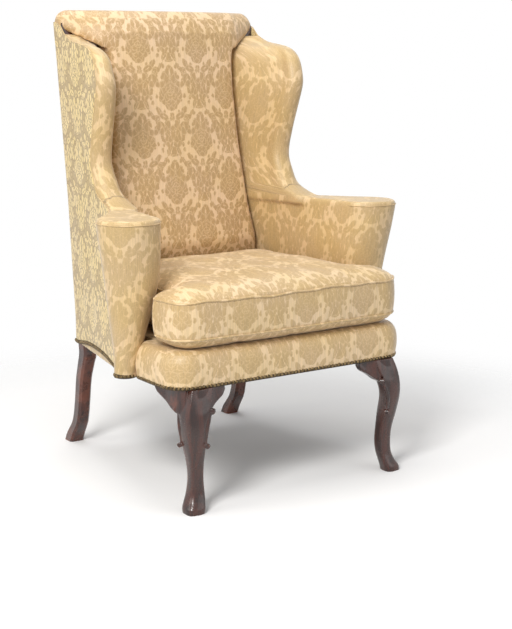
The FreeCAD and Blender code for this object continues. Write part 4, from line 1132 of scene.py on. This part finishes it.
def cushion_form():
    """Boxing between the two seams, a crowned top that rises fast near its seam, and a base pressed flat."""
    outline = even(cushion_outline(), 0.008)
    count = len(outline)
    xs, ys = np.meshgrid(np.arange(-0.34, 0.341, 0.009), np.arange(-0.03, 0.52, 0.009))
    grid = np.column_stack([xs.ravel(), ys.ravel()])
    grid = grid[inside_of(outline, grid)]
    grid = grid[distance_to(outline, grid) > 0.005]
    flat = np.vstack([outline, grid])
    seam = [(i, (i + 1) % count) for i in range(count)]
    result = delaunay_2d_cdt([Vector(p) for p in flat], seam, [], 1, 1e-6)
    plan = np.array([tuple(v) for v in result[0]])
    away = distance_to(outline, plan)
    across = np.clip(1 - (plan[:, 0] / 0.31) ** 2, 0, 1)
    along = np.clip(1 - ((plan[:, 1] - 0.24) / 0.30) ** 2, 0, 1)
    middle = across * along
    rise = 0.021 * (1 - np.exp(-away / 0.020)) + (CUSHION_CROWN - 0.006 - CUSHION_TOP_SEAM - 0.021) * middle
    under = (CUSHION_BOTTOM_SEAM - CUSHION_BOTTOM - 0.003) * (1 - np.exp(-away / 0.014))
    top = np.column_stack([plan, CUSHION_TOP_SEAM + rise])
    base = np.column_stack([plan, CUSHION_BOTTOM_SEAM - under])
    triangles = [tuple(f) for f in result[2]]
    parts = [(top, triangles), (base, [tuple(reversed(f)) for f in triangles])]
    rings = []
    for t in np.linspace(0, 1, 9):
        out = 0.004 * math.sin(math.pi * t) ** 0.8
        normal = np.roll(outline, -1, axis=0) - np.roll(outline, 1, axis=0)
        normal = np.column_stack([normal[:, 1], -normal[:, 0]])
        normal /= np.linalg.norm(normal, axis=1)[:, None]
        z = CUSHION_BOTTOM_SEAM + (CUSHION_TOP_SEAM - CUSHION_BOTTOM_SEAM) * t
        rings.append(ring_at(outline + normal * out, z))
    wall, faces = loft(rings)
    parts.append((wall, faces[:-2]))
    return joined(parts)


def cushion_cloth(co, normals):
    x, y, z = co.T
    flat = np.abs(normals[:, 2]) > 0.62
    sides = (np.abs(normals[:, 0]) > np.abs(normals[:, 1])) & ~flat
    u = np.where(sides, np.sign(x) * (CUSHION_EAR_HALF + y), x)
    v = np.where(flat, y + 0.06, z - 0.47)
    return np.stack([u - 0.02, v], axis=1)


def make_cushion():
    sizes = bpy.context.scene.armchair_sizes
    verts, faces = cushion_form()
    obj = new_object("seat_cushion_cover", verts, faces)
    tidy = bmesh.new()
    tidy.from_mesh(obj.data)
    bmesh.ops.remove_doubles(tidy, verts=tidy.verts, dist=0.0008)
    bmesh.ops.recalc_face_normals(tidy, faces=tidy.faces)
    tidy.to_mesh(obj.data)
    tidy.free()
    remeshed(obj, CUSHION_VOXEL)
    relaxed(obj, 3)
    inflated(obj, sizes.cushion_fill, sizes.cushion_swell)
    co = points_of(obj)
    co[:, 2] = np.maximum(co[:, 2], CUSHION_BOTTOM)
    set_points(obj, co)
    crumple(obj)
    polygons = [tuple(p.vertices) for p in obj.data.polygons]
    tree = BVHTree.FromPolygons([tuple(v) for v in points_of(obj)], polygons)
    radius = sizes.piping / 2
    cords = []
    for seam, droop in ((CUSHION_TOP_SEAM, 0.0035), (CUSHION_BOTTOM_SEAM, 0.001)):
        path = []
        for k, (x, y) in enumerate(even(cushion_outline(), 0.006)):
            wave = droop * (math.sin(k * 0.31) * 0.5 + math.sin(k * 0.117 + 1.0) * 0.5)
            here = Vector((x, y - MIDDLE_DEPTH, seam + wave))
            place, normal, _, _ = tree.find_nearest(here)
            path.append(np.array(place) + np.array(normal) * radius * 0.35)
        path = np.array(path)
        for _ in range(6):
            path = (np.roll(path, 1, axis=0) + 2 * path + np.roll(path, -1, axis=0)) / 4
        cords.append(tube(path, radius, closed=True))
    cord_verts, cord_faces = joined(cords)
    welt = new_object("cushion_piping", cord_verts, cord_faces, 0.0)
    lay_cloth(obj, cushion_cloth)
    lay_cloth(welt, lambda p, q: np.stack([p[:, 0] + p[:, 1], p[:, 2]], axis=1))
    dress(obj, material_of("damask cushion"), body="cushion", replaces=("seat_cushion",))
    dress(welt, material_of("damask cushion"), body="cushion")


# Depth of the puckers beside the cushion's seams, and of the dents on its top
PUCKER = 0.0013
DENT = 0.0022


def crumple(obj):
    """Small puckers that run out from the seams, deepest beside them, and soft dents on the top."""
    co = points_of(obj)
    normals = normals_of(obj)
    x, y, z = co[:, 0], co[:, 1] + MIDDLE_DEPTH, co[:, 2]
    along = np.where(np.abs(normals[:, 0]) > np.abs(normals[:, 1]), y, x)
    near = np.exp(-np.abs(z - CUSHION_TOP_SEAM) / 0.012) + np.exp(-np.abs(z - CUSHION_BOTTOM_SEAM) / 0.012)
    ripple = np.sin(along * 235.0 + 3.0 * np.sin(along * 31.0)) * np.sin(along * 83.0 + 1.0)
    dents = np.sin(x * 19.0 + 2.0 * np.sin(y * 11.0)) * np.sin(y * 16.0 + 1.3 * np.sin(x * 13.0))
    top = np.clip((normals[:, 2] - 0.5) * 2, 0, 1)
    move = PUCKER * ripple * near * (1 - top) + DENT * dents * top
    move = np.where(z < CUSHION_BOTTOM + 0.012, 0.0, move)
    set_points(obj, co + normals * move[:, None])


# Outside covers
def panel_front(z):
    if z <= ARM_TOP:
        return between(z, FLARE_START)
    depth, thick = smooth(z, column(WING_EDGE, 1)), smooth(z, column(WING_EDGE, 2))
    edge = depth + thick / 2 + 0.001
    if z > WING_EDGE[-1][0]:
        start = (WING_EDGE[-1][0], WING_EDGE[-1][1] + WING_EDGE[-1][2] / 2 + 0.001)
        edge = between(z, (start, (PANEL_TIP[0][1], PANEL_TIP[0][0]), (PANEL_TIP[1][1], PANEL_TIP[1][0])))
    return edge


def panel_grid(proud):
    heights = np.concatenate([np.linspace(RAIL_BOTTOM, ARM_TOP, 46), np.linspace(ARM_TOP, PANEL_TOP, 70)[1:]])
    rows = []
    for z in heights:
        front, rear = panel_front(z), rear_depth(z)
        row = []
        for s in np.linspace(0, 1, 40):
            y = front + (rear - front) * s
            lift = max(0.0, 1 - (z - RAIL_BOTTOM) / 0.12) * (smooth(y, ARCH) - RAIL_BOTTOM)
            at = z + lift
            edge = min(s, 1 - s) * (rear - front)
            turned = 0.0016 * max(0.0, 1 - edge / 0.003) ** 2 if proud else 0.0
            row.append((panel_x(y, at) + (0.0004 - turned if proud else -COVER), y, at))
        rows.append(row)
    return np.array(rows)


def outside_cloth(co, normals):
    u = np.where(np.abs(normals[:, 0]) > 0.5, co[:, 1], co[:, 0])
    return np.stack([u - 0.02, co[:, 2] - MEDALLION[1] + 0.06], axis=1)


def make_outside_covers():
    panel = slab(panel_grid(True), panel_grid(False))
    for side in ("right", "left"):
        verts, faces = mirrored(*panel) if side == "left" else panel
        obj = new_object("outside_cover_" + side, verts, faces)
        fix_normals(obj)
        lay_cloth(obj, outside_cloth)
        node = "outside_side_cover_" + side
        dress(obj, material_of("damask outside"), replaces=(node,), sharp=50)
    rows = []
    for z in np.linspace(REAR_BOTTOM, PANEL_TOP, 60):
        w = rear_half_width(z) - COVER - 0.0004
        rows.append([(w * s, rear_depth(z), z) for s in np.linspace(-1, 1, 50)])
    face = np.array(rows)
    across = 1 - (np.linspace(-1, 1, 50)[None, :]) ** 8
    upward = 1 - (np.linspace(-1, 1, 60)[:, None]) ** 8
    pillow = 0.0006 * across * upward
    outer = face + np.stack([0 * pillow, pillow, 0 * pillow], axis=2)
    inner = face - (0.0, COVER - 0.0004, 0.0)
    back = new_object("outside_back", *slab(outer, inner))
    fix_normals(back)
    lay_cloth(back, outside_cloth)
    dress(back, material_of("damask outside"), replaces=("outside_back_cover",), sharp=50)


def fix_normals(obj):
    mesh = bmesh.new()
    mesh.from_mesh(obj.data)
    bmesh.ops.recalc_face_normals(mesh, faces=mesh.faces)
    mesh.to_mesh(obj.data)
    mesh.free()


# Front legs
def leg_point(s, t, z):
    """A point s outward along the leg's diagonal and t across it."""
    root2 = math.sqrt(2.0)
    return np.array([FOOT_HALF_SPACING + (s + t) / root2, (t - s) / root2, z])


def leg_ring(z):
    out, back, half = (smooth(z, column(LEG_STATIONS, k)) for k in (1, 2, 3))
    middle, swell = (out + back) / 2, max(between(z, LEG_SWELL), 1.0)
    ridges = ((out, 0.0), (middle, half), (back, 0.0), (middle, -half))
    ring = []
    for (s0, t0), (s1, t1) in zip(ridges, ridges[1:] + ridges[:1]):
        for share in np.linspace(0, 1, 8, endpoint=False):
            grow = 1 + (swell - 1) * min(1.0, 3.4 * share * (1 - share) * 1.3)
            s = s0 + (s1 - s0) * share - middle
            t = t0 + (t1 - t0) * share
            ring.append(leg_point(middle + s * grow, t * grow, z))
    return ring


def bracket(reach, face):
    """The curved bracket from the knee along a rail, thinning to a tip under its end."""
    shares = column([(1 - s, z, bow) for s, z, bow in BRACKET_STATIONS], 1)
    bows = column([(1 - s, z, bow) for s, z, bow in BRACKET_STATIONS], 2)
    rings = []
    for at in np.linspace(0.0, 0.9, 26):
        z, bow = smooth(at, shares), smooth(at, bows)
        middle = np.array([FOOT_HALF_SPACING, 0.0]) + np.array(reach) * (1 - at)
        lip = bow + 0.0015
        top = RAIL_BOTTOM - 0.0005
        outline = [(bow - 0.004, top), (bow - 0.001, (z + RAIL_BOTTOM) / 2), (lip, z + 0.004)]
        outline += [(lip - 0.002, z), (-BRACKET_BACK, z), (-BRACKET_BACK, top)]
        rings.append([(*(middle + np.array(face) * out), high) for out, high in outline])
    return loft(rings)


def spiral(s, t, z, side, size=0.0068):
    """A small volute that faces out along the diagonal: a disc with a raised line wound round its eye."""
    centre = leg_point(s + 0.005, t, z)
    across = (leg_point(0, 1, 0) - leg_point(0, 0, 0)) * side
    out = leg_point(1, 0, 0) - leg_point(0, 0, 0)
    up = np.array([0.0, 0.0, 1.0])
    line = []
    for a in np.linspace(0, 3.4 * math.pi, 44):
        reach = size * (1 - a / (4.4 * math.pi))
        line.append(centre + reach * (math.cos(a) * across + math.sin(a) * up) + out * 0.0016)

    def turned(steps, count):
        return loft([round_ring(centre + out * d, across, up, r, count) for d, r in steps])

    disc = turned(((-0.010, size), (0.0, size), (0.0012, size * 0.92)), 24)
    eye = turned(((0.0, 0.0022), (0.0028, 0.0018), (0.0034, 0.0008)), 12)
    return [tube(line, 0.0012, up=tuple(out), sides=6), disc, eye]


def scrolls(side):
    z_values = np.linspace(SCROLL_STATIONS[-1][0], SCROLL_STATIONS[0][0], 24)
    s_rule = sorted((z, s) for z, s, t in SCROLL_STATIONS)
    t_rule = sorted((z, t) for z, s, t in SCROLL_STATIONS)
    path = [leg_point(smooth(z, s_rule) + 0.001, side * (smooth(z, t_rule) - 0.002), z) for z in z_values]
    widths = np.interp(z_values, (0.167, 0.204, 0.245), (0.0038, 0.0056, 0.0048))
    strip = tube(path, widths, up=(1.0, 0.3, 0.0))
    parts = [strip]
    for s, t, z in (HIGH_VOLUTE, LOW_VOLUTE):
        parts += spiral(s, side * t, z, side, 0.0072 if z > 0.2 else 0.0058)
    return parts


def make_front_legs():
    rings = [leg_ring(z) for z in np.linspace(0.0, LEG_STATIONS[-1][0], 90)]
    x1, y0, size = FOOT_HALF_SPACING + 0.002, 0.024, 0.050
    square = ((x1 - size, y0), (x1, y0), (x1, y0 + size), (x1 - size, y0 + size))
    post = loft([[(x, y, z) for x, y in square] for z in (RAIL_BOTTOM - 0.006, RAIL_TOP)])
    parts = [loft(rings), post, bracket(FRONT_BRACKET, (0.0, -1.0)), bracket(SIDE_BRACKET, (0.97, -0.24))]
    parts += scrolls(-1.0) + scrolls(1.0)
    whole = joined(parts)
    for side in ("right", "left"):
        verts, faces = mirrored(*whole) if side == "left" else whole
        obj = new_object("cabriole_leg_" + side, verts, faces)
        fix_normals(obj)
        remeshed(obj, CARVING_VOXEL)
        relaxed(obj, 2)
        dress(obj, material_of("walnut"),
              replaces=("front_leg_" + side, "knee_bracket_front_" + side, "knee_bracket_side_" + side))


def make_rear_legs():
    """Raked square legs with chamfered corners, cut on the slant where they are spliced to the posts."""
    rings = []
    for z in np.linspace(0.0, RAIL_BOTTOM, 80):
        y, size = smooth(z, column(REAR_LEG_STATIONS, 1)), smooth(z, column(REAR_LEG_STATIONS, 2))
        x, h, c = REAR_LEG_HALF_SPACING, size / 2, REAR_CHAMFER
        half = ((-h + c, -h), (h - c, -h), (h, -h + c), (h, h - c))
        corners = half + tuple((-a, -b) for a, b in half)
        rings.append([(x + a, y + b, z) for a, b in corners])
    whole = loft(rings)
    post_front = rear_depth(RAIL_BOTTOM) - COVER - REAR_POST
    slope = (SPLICE[1] - SPLICE[0]) / REAR_POST
    for side in ("right", "left"):
        verts, faces = mirrored(*whole) if side == "left" else whole
        obj = new_object("raked_leg_" + side, verts, faces)
        mesh = bmesh.new()
        mesh.from_mesh(obj.data)
        cut = bmesh.ops.bisect_plane(mesh, geom=mesh.verts[:] + mesh.edges[:] + mesh.faces[:], dist=1e-6,
                                     plane_co=(0, post_front - MIDDLE_DEPTH, SPLICE[0]),
                                     plane_no=Vector((0, -slope, 1)).normalized(), clear_outer=True)
        splice = [e for e in cut["geom_cut"] if isinstance(e, bmesh.types.BMEdge)]
        bmesh.ops.holes_fill(mesh, edges=splice, sides=0)
        bmesh.ops.recalc_face_normals(mesh, faces=mesh.faces)
        mesh.to_mesh(obj.data)
        mesh.free()
        dress(obj, material_of("walnut"), replaces=("rear_leg_" + side,), sharp=35)


# Nails and edging
# Height of the nails above the edge of the cover
NAIL_RISE = 0.0035


def edge_paths():
    """Lines along the bottom edges that the nails follow, each with its outward side on its right."""
    z = RAIL_BOTTOM + NAIL_RISE
    front = [(x, y, z) for x, y in ear_outline(0.0012)[EAR_CHORDS:-1]]
    front = [p for p in front if p[1] < EAR_REAR - 0.004]
    outer = arm_ring(z)
    arm = [p for p in outer if p[1] < between(z, FLARE_START) + 0.002 and p[0] > 0.338]
    arm = sorted(arm, key=lambda p: math.atan2(p[0] - 0.345, 0.215 - p[1]))
    side = []
    for y in np.linspace(between(z, FLARE_START) + 0.006, rear_depth(z) - 0.002, 60):
        up = smooth(y, ARCH) + 0.0045
        side.append((panel_x(y, up) + 0.0006, y, up))
    arm = [(x, y, z + (smooth(y, ARCH) - RAIL_BOTTOM if y > 0.214 else 0.0)) for x, y, _ in arm]
    right = arm + side
    left = [(-x, y, h) for x, y, h in reversed(right)]
    w = rear_half_width(REAR_BOTTOM)
    depth, height = rear_depth(REAR_BOTTOM) + 0.0008, REAR_BOTTOM + 0.0045
    back = [(x, depth, height) for x in np.linspace(w - 0.003, -w + 0.003, 40)]
    return [front, right, back, left]


# Section of a nail's dome: how far out, and share of its radius
NAIL_DOME = ((-0.0012, 1.0), (0.0004, 1.0), (0.0015, 0.86), (0.0024, 0.55), (0.0028, 0.2))
# Section of the edging: out from the cover, up from the nails' line
EDGING = ((-0.0018, -0.0055), (0.0006, -0.0055), (0.0010, 0.0), (0.0006, 0.0048), (-0.0018, 0.0048))
UPWARD = np.array([0.0, 0.0, 1.0])


def directions(line):
    """Level directions along a line and outward from it."""
    tangent = np.gradient(line, axis=0)
    tangent[:, 2] = 0.0
    tangent /= np.linalg.norm(tangent, axis=1)[:, None]
    return tangent, np.column_stack([tangent[:, 1], -tangent[:, 0], 0 * tangent[:, 0]])


def make_nails():
    sizes = bpy.context.scene.armchair_sizes
    radius = sizes.nail_head / 2
    domes, strips = [], []
    for path in edge_paths():
        line = resampled(path, sizes.nail_pitch)
        tangent, out = directions(line)
        for k, (p, t, o) in enumerate(zip(line, tangent, out)):
            shake = 0.0005 * math.sin(k * 2.4) * UPWARD
            rings = [round_ring(p + shake + o * d, t, UPWARD, radius * r, 10) for d, r in NAIL_DOME]
            domes.append(loft(rings))
        fine = resampled(path, 0.004)
        _, out = directions(fine)
        strips.append(loft([[p + o * a + UPWARD * b for a, b in EDGING] for p, o in zip(fine, out)]))
    nails = new_object("brass_nails", *joined(domes))
    fix_normals(nails)
    dress(nails, material_of("brass"))
    edging = new_object("dark_edging", *joined(strips))
    fix_normals(edging)
    dress(edging, material_of("edging"), sharp=40)


# Seams of the arms and wings
def make_seam_cords():
    for side, sign in (("right", 1.0), ("left", -1.0)):
        rim = arm_ring(ARM_ROLL[-1][0] + 0.004, -0.0006, ARM_TOP - 0.0105)
        path = [p for p in rim[14:-16]]
        edge = []
        low = np.linspace(RAIL_BOTTOM + 0.016, ARM_TOP, 60)
        high = np.linspace(ARM_TOP, PANEL_TOP - 0.004, 120)
        for z in np.concatenate([low, high[1:]]):
            y = panel_front(z) - 0.0012
            edge.append((panel_x(y, z) - 0.0004, y, z))
        rim_cord = tube(resampled(path, 0.004), 0.0011, sides=6)
        edge_cord = tube(resampled(edge, 0.005), 0.0012, up=(1.0, 0.0, 0.0), sides=6)
        verts, faces = joined([rim_cord, edge_cord])
        obj = new_object("seam_cords_" + side, verts * (sign, 1.0, 1.0), faces)
        fix_normals(obj)
        lay_cloth(obj, lambda p, q: np.stack([p[:, 1], p[:, 2]], axis=1))
        dress(obj, material_of("damask arm"))


# Under the covers
def make_webbing_and_hessian():
    for node, across in (("seat_webbing", 1), ("back_webbing", 2)):
        source = bpy.data.objects.get(node)
        straps = islands(source)
        parts = []
        for box_low, box_high in straps:
            long_axis = int(np.argmax(box_high - box_low))
            if node == "back_webbing" and long_axis == 1:
                long_axis = 2
            parts.append(strap(box_low, box_high, long_axis, node == "back_webbing"))
        obj = new_object(node + "_woven", *joined(parts), 0.0)
        fix_normals(obj)
        dress(obj, material_of("webbing"), replaces=(node,), sharp=40)


def islands(obj):
    """Lowest and highest corner of each separate solid in a node, in the shared frame."""
    mesh = bmesh.new()
    mesh.from_mesh(obj.data)
    bmesh.ops.remove_doubles(mesh, verts=mesh.verts, dist=1e-6)
    seen, boxes = set(), []
    for start in mesh.verts:
        if start in seen:
            continue
        group, stack = [], [start]
        seen.add(start)
        while stack:
            here = stack.pop()
            group.append(here.co[:])
            for e in here.link_edges:
                other = e.other_vert(here)
                if other not in seen:
                    seen.add(other)
                    stack.append(other)
        pts = np.array(group)
        boxes.append((pts.min(axis=0), pts.max(axis=0)))
    mesh.free()
    return boxes


# Half thickness of a webbing strip, and how far it waves over and under the others
STRAP_HALF = 0.0005
SEAT_WAVE = 0.0002
BACK_WAVE = 0.0003
STRAP_STEPS = 60
WAVE_TURN = 31.0


def rim(low, high, half):
    return ((low, -half), (high, -half), (high, half), (low, half))


def strap(low, high, axis, leaning):
    """A webbing strip in the box of its solid; those of the back lean with the posts that they cross."""
    rings = []
    for t in np.linspace(0, 1, STRAP_STEPS):
        x, y, z = low + (high - low) * t
        wave = math.sin(t * WAVE_TURN)
        level = (low[2] + high[2]) / 2 + SEAT_WAVE * wave
        if leaning and axis == 2:
            y = post_front(z) - 0.0006 + BACK_WAVE * wave
            rings.append([(u, y + d, z) for u, d in rim(low[0], high[0], STRAP_HALF)])
        elif leaning:
            away = rim(low[2], high[2], STRAP_HALF)
            rings.append([(x, post_front(v) - 0.0022 + d + BACK_WAVE * wave, v) for v, d in away])
        elif axis == 0:
            rings.append([(x, v, level + d) for v, d in rim(low[1], high[1], STRAP_HALF)])
        else:
            rings.append([(u, y, level + d) for u, d in rim(low[0], high[0], STRAP_HALF)])
    return loft(rings)


def post_front(z):
    """Front of the back posts in the shared frame."""
    return rear_depth(z) - COVER - REAR_POST - MIDDLE_DEPTH


def cloth_over(node, name, material, sag=0.0):
    """A stretched cloth with the plan of a flat node, sagging a little in its middle."""
    source = bpy.data.objects[node]
    mesh = bmesh.new()
    mesh.from_mesh(source.data)
    bmesh.ops.remove_doubles(mesh, verts=mesh.verts, dist=1e-6)
    for _ in range(4):
        long_edges = [e for e in mesh.edges if e.calc_length() > 0.03]
        if long_edges:
            bmesh.ops.subdivide_edges(mesh, edges=long_edges, cuts=1, use_grid_fill=True)
            bmesh.ops.triangulate(mesh, faces=[f for f in mesh.faces if len(f.verts) > 4])
    data = bpy.data.meshes.new(name)
    mesh.to_mesh(data)
    area = sum(f.calc_area() for f in mesh.faces) / 2
    mesh.free()
    obj = bpy.data.objects.new(name, data)
    bpy.context.scene.collection.objects.link(obj)
    co = points_of(obj)
    low, high = co.min(axis=0), co.max(axis=0)
    span = np.maximum(high - low, 1e-6)
    t = (co - low) / span * 2 - 1
    if sag:
        co[:, 2] -= sag * np.clip(1 - t[:, 0] ** 2, 0, 1) * np.clip(1 - t[:, 1] ** 2, 0, 1)
        set_points(obj, co)
    dress(obj, material_of(material), replaces=(node,), sharp=50)
    return obj


def make_linings():
    cloth_over("seat_hessian", "seat_hessian_cloth", "hessian")
    cloth_over("back_hessian", "back_hessian_cloth", "hessian")
    cloth_over("dust_cover", "dust_cover_cloth", "black_cloth",
               sag=0.002)


# Frame parts given timber: walnut for the back posts, beech for the rest
FRAME_WOOD = (
    "front_rail", "rear_rail", "crest_rail", "lower_back_rail", "side_rail", "ear_block",
    "corner_block_front", "corner_block_rear", "arm_support", "arm_rail", "wing_upright", "wing_top_rail",
    "back_post",
)


def finish_frame():
    for name in FRAME_WOOD:
        for node in (name, name + "_right", name + "_left"):
            obj = bpy.data.objects.get(node)
            if obj:
                obj.data.materials.clear()
                obj.data.materials.append(material_of("walnut" if name == "back_post" else "beech"))


# Stage
def aim(obj, target):
    obj.rotation_mode = "QUATERNION"
    obj.rotation_quaternion = (Vector(target) - obj.location).to_track_quat("-Z", "Y")


def area_light(name, place, target, size, power, colour=(1, 1, 1)):
    data = bpy.data.lights.new(name, "AREA")
    data.shape = "SQUARE"
    data.size = size
    data.energy = power
    data.color = colour
    lamp = bpy.data.objects.new(name, data)
    bpy.context.scene.collection.objects.link(lamp)
    lamp.location = place
    aim(lamp, target)


def make_camera():
    """The photograph's view: azimuth, elevation, distance and framing."""
    azimuth, elevation, distance = math.radians(-34.2), math.radians(11.25), 3.2
    focal, height = 1320.0, 629.0
    back = Vector((math.sin(azimuth) * math.cos(elevation), -math.cos(azimuth) * math.cos(elevation),
                   math.sin(elevation)))
    right = Vector((math.cos(azimuth), math.sin(azimuth), 0.0))
    up = back.cross(right)
    data = bpy.data.cameras.new("camera")
    data.sensor_fit = "VERTICAL"
    data.sensor_height = 36.0
    data.sensor_width = 36.0
    data.lens = focal / height * 36.0
    camera = bpy.data.objects.new("camera", data)
    bpy.context.scene.collection.objects.link(camera)
    camera.location = Vector((0, -MIDDLE_DEPTH, 0.500)) + back * distance - right * 0.100 - up * 0.053
    camera.rotation_mode = "QUATERNION"
    camera.rotation_quaternion = (-back).to_track_quat("-Z", "Y")
    bpy.context.scene.camera = camera


def pale_floor():
    """Matt white floor that fades into the background away from the chair."""
    material = bpy.data.materials.new("floor")
    material.use_nodes = True
    n = Nodes(material.node_tree)
    tree = material.node_tree
    shader = tree.nodes["Principled BSDF"]
    shader.inputs["Base Color"].default_value = (0.97, 0.97, 0.975, 1.0)
    shader.inputs["Roughness"].default_value = 0.9
    shader.inputs["Specular IOR Level"].default_value = 0.1
    clear = n.add("ShaderNodeBsdfTransparent")
    blend = n.add("ShaderNodeMixShader")
    away = n.vector("LENGTH", object_place(n))
    n.feed(blend.inputs[0], n.ramp(away, 0.7, 1.6))
    tree.links.new(shader.outputs[0], blend.inputs[1])
    tree.links.new(clear.outputs[0], blend.inputs[2])
    tree.links.new(blend.outputs[0], tree.nodes["Material Output"].inputs["Surface"])
    return material


def make_stage():
    make_camera()
    floor = new_object("floor", [(-6, -6, 0), (6, -6, 0), (6, 6, 0), (-6, 6, 0)], [(0, 1, 2, 3)], 0.0)
    floor.data.materials.append(pale_floor())
    world = bpy.data.worlds.new("studio")
    bpy.context.scene.world = world
    world.use_nodes = True
    n = Nodes(world.node_tree)
    path = n.add("ShaderNodeLightPath")
    rays = ("Is Camera Ray", "Is Glossy Ray", "Is Transmission Ray")
    seen = n.union([path.outputs[ray] for ray in rays])
    background = world.node_tree.nodes["Background"]
    n.feed(background.inputs["Strength"], n.ramp(seen, 0.0, 1.0, 0.38, 1.0))
    background.inputs["Color"].default_value = (1, 1, 1, 1)
    area_light("key", (-2.3, -1.7, 2.5), (0.1, 0, 0.6), 1.1, 96, (1.0, 0.985, 0.96))
    area_light("fill", (1.6, -2.6, 1.5), (0, 0, 0.6), 1.8, 10)
    area_light("side", (-2.8, 0.5, 1.6), (-0.2, 0, 0.7), 1.2, 12, (1.0, 0.98, 0.93))
    area_light("overhead", (0.0, 0.2, 3.2), (0, 0, 0.5), 1.8, 36)
    bpy.context.scene.view_settings.view_transform = "Standard"


# Operators and panel
class ARMCHAIR_OT_stage(bpy.types.Operator):
    """Adds the camera, the lamps, the floor and the pale background"""
    bl_idname = "armchair.stage"
    bl_label = "Stage"

    def execute(self, context):
        make_stage()
        return {"FINISHED"}


class ARMCHAIR_OT_sides(bpy.types.Operator):
    """Covers the stuffed arms and wings"""
    bl_idname = "armchair.sides"
    bl_label = "Arms and wings"

    def execute(self, context):
        make_sides()
        return {"FINISHED"}


class ARMCHAIR_OT_inside_back(bpy.types.Operator):
    """Covers the inside back and its rolled crest"""
    bl_idname = "armchair.inside_back"
    bl_label = "Inside back"

    def execute(self, context):
        make_inside_back()
        return {"FINISHED"}


class ARMCHAIR_OT_seat(bpy.types.Operator):
    """Covers the seat's deck, its rolled front and its ears"""
    bl_idname = "armchair.seat"
    bl_label = "Seat pad"

    def execute(self, context):
        make_seat_pad()
        return {"FINISHED"}


class ARMCHAIR_OT_cushion(bpy.types.Operator):
    """Makes the loose cushion and its piped seams"""
    bl_idname = "armchair.cushion"
    bl_label = "Cushion"

    def execute(self, context):
        make_cushion()
        return {"FINISHED"}


class ARMCHAIR_OT_outside(bpy.types.Operator):
    """Stretches the outside covers over the sides and back"""
    bl_idname = "armchair.outside"
    bl_label = "Outside covers"

    def execute(self, context):
        make_outside_covers()
        return {"FINISHED"}


class ARMCHAIR_OT_seams(bpy.types.Operator):
    """Lays cords along the seams of the arms and wings"""
    bl_idname = "armchair.seams"
    bl_label = "Seam cords"

    def execute(self, context):
        make_seam_cords()
        return {"FINISHED"}


class ARMCHAIR_OT_front_legs(bpy.types.Operator):
    """Carves the cabriole legs, their brackets and scrolls"""
    bl_idname = "armchair.front_legs"
    bl_label = "Front legs"

    def execute(self, context):
        make_front_legs()
        return {"FINISHED"}


class ARMCHAIR_OT_rear_legs(bpy.types.Operator):
    """Shapes the raked rear legs"""
    bl_idname = "armchair.rear_legs"
    bl_label = "Rear legs"

    def execute(self, context):
        make_rear_legs()
        return {"FINISHED"}


class ARMCHAIR_OT_nails(bpy.types.Operator):
    """Drives the brass nails through a dark edging"""
    bl_idname = "armchair.nails"
    bl_label = "Nails"

    def execute(self, context):
        make_nails()
        return {"FINISHED"}


class ARMCHAIR_OT_linings(bpy.types.Operator):
    """Stretches webbing, hessian and the dust cover"""
    bl_idname = "armchair.linings"
    bl_label = "Webbing and linings"

    def execute(self, context):
        make_webbing_and_hessian()
        make_linings()
        return {"FINISHED"}


class ARMCHAIR_OT_frame_wood(bpy.types.Operator):
    """Gives the hidden frame its timber"""
    bl_idname = "armchair.frame_wood"
    bl_label = "Frame timber"

    def execute(self, context):
        finish_frame()
        return {"FINISHED"}


OPERATORS = (
    ARMCHAIR_OT_stage,
    ARMCHAIR_OT_sides,
    ARMCHAIR_OT_inside_back,
    ARMCHAIR_OT_seat,
    ARMCHAIR_OT_cushion,
    ARMCHAIR_OT_outside,
    ARMCHAIR_OT_seams,
    ARMCHAIR_OT_front_legs,
    ARMCHAIR_OT_rear_legs,
    ARMCHAIR_OT_nails,
    ARMCHAIR_OT_linings,
    ARMCHAIR_OT_frame_wood,
)


class ARMCHAIR_PT_panel(bpy.types.Panel):
    bl_label = "Wing armchair"
    bl_idname = "ARMCHAIR_PT_panel"
    bl_space_type = "VIEW_3D"
    bl_region_type = "UI"
    bl_category = "Armchair"

    def draw(self, context):
        for group in (context.scene.armchair_sizes, context.scene.armchair_colours):
            box = self.layout.box()
            for name in group.bl_rna.properties.keys():
                if name not in ("rna_type", "name"):
                    box.prop(group, name)
        for item in OPERATORS:
            self.layout.operator(item.bl_idname)


CLASSES = (ArmchairSizes, ArmchairColours) + OPERATORS + (ARMCHAIR_PT_panel,)


def register():
    for item in CLASSES:
        bpy.utils.register_class(item)
    bpy.types.Scene.armchair_sizes = PointerProperty(type=ArmchairSizes)
    bpy.types.Scene.armchair_colours = PointerProperty(type=ArmchairColours)


def unregister():
    del bpy.types.Scene.armchair_colours
    del bpy.types.Scene.armchair_sizes
    for item in reversed(CLASSES):
        bpy.utils.unregister_class(item)


def main():
    register()
    bpy.ops.armchair.stage()
    bpy.ops.armchair.sides()
    bpy.ops.armchair.inside_back()
    bpy.ops.armchair.seat()
    bpy.ops.armchair.cushion()
    bpy.ops.armchair.outside()
    bpy.ops.armchair.seams()
    bpy.ops.armchair.front_legs()
    bpy.ops.armchair.rear_legs()
    bpy.ops.armchair.nails()
    bpy.ops.armchair.linings()
    bpy.ops.armchair.frame_wood()


if __name__ == "__main__":
    main()
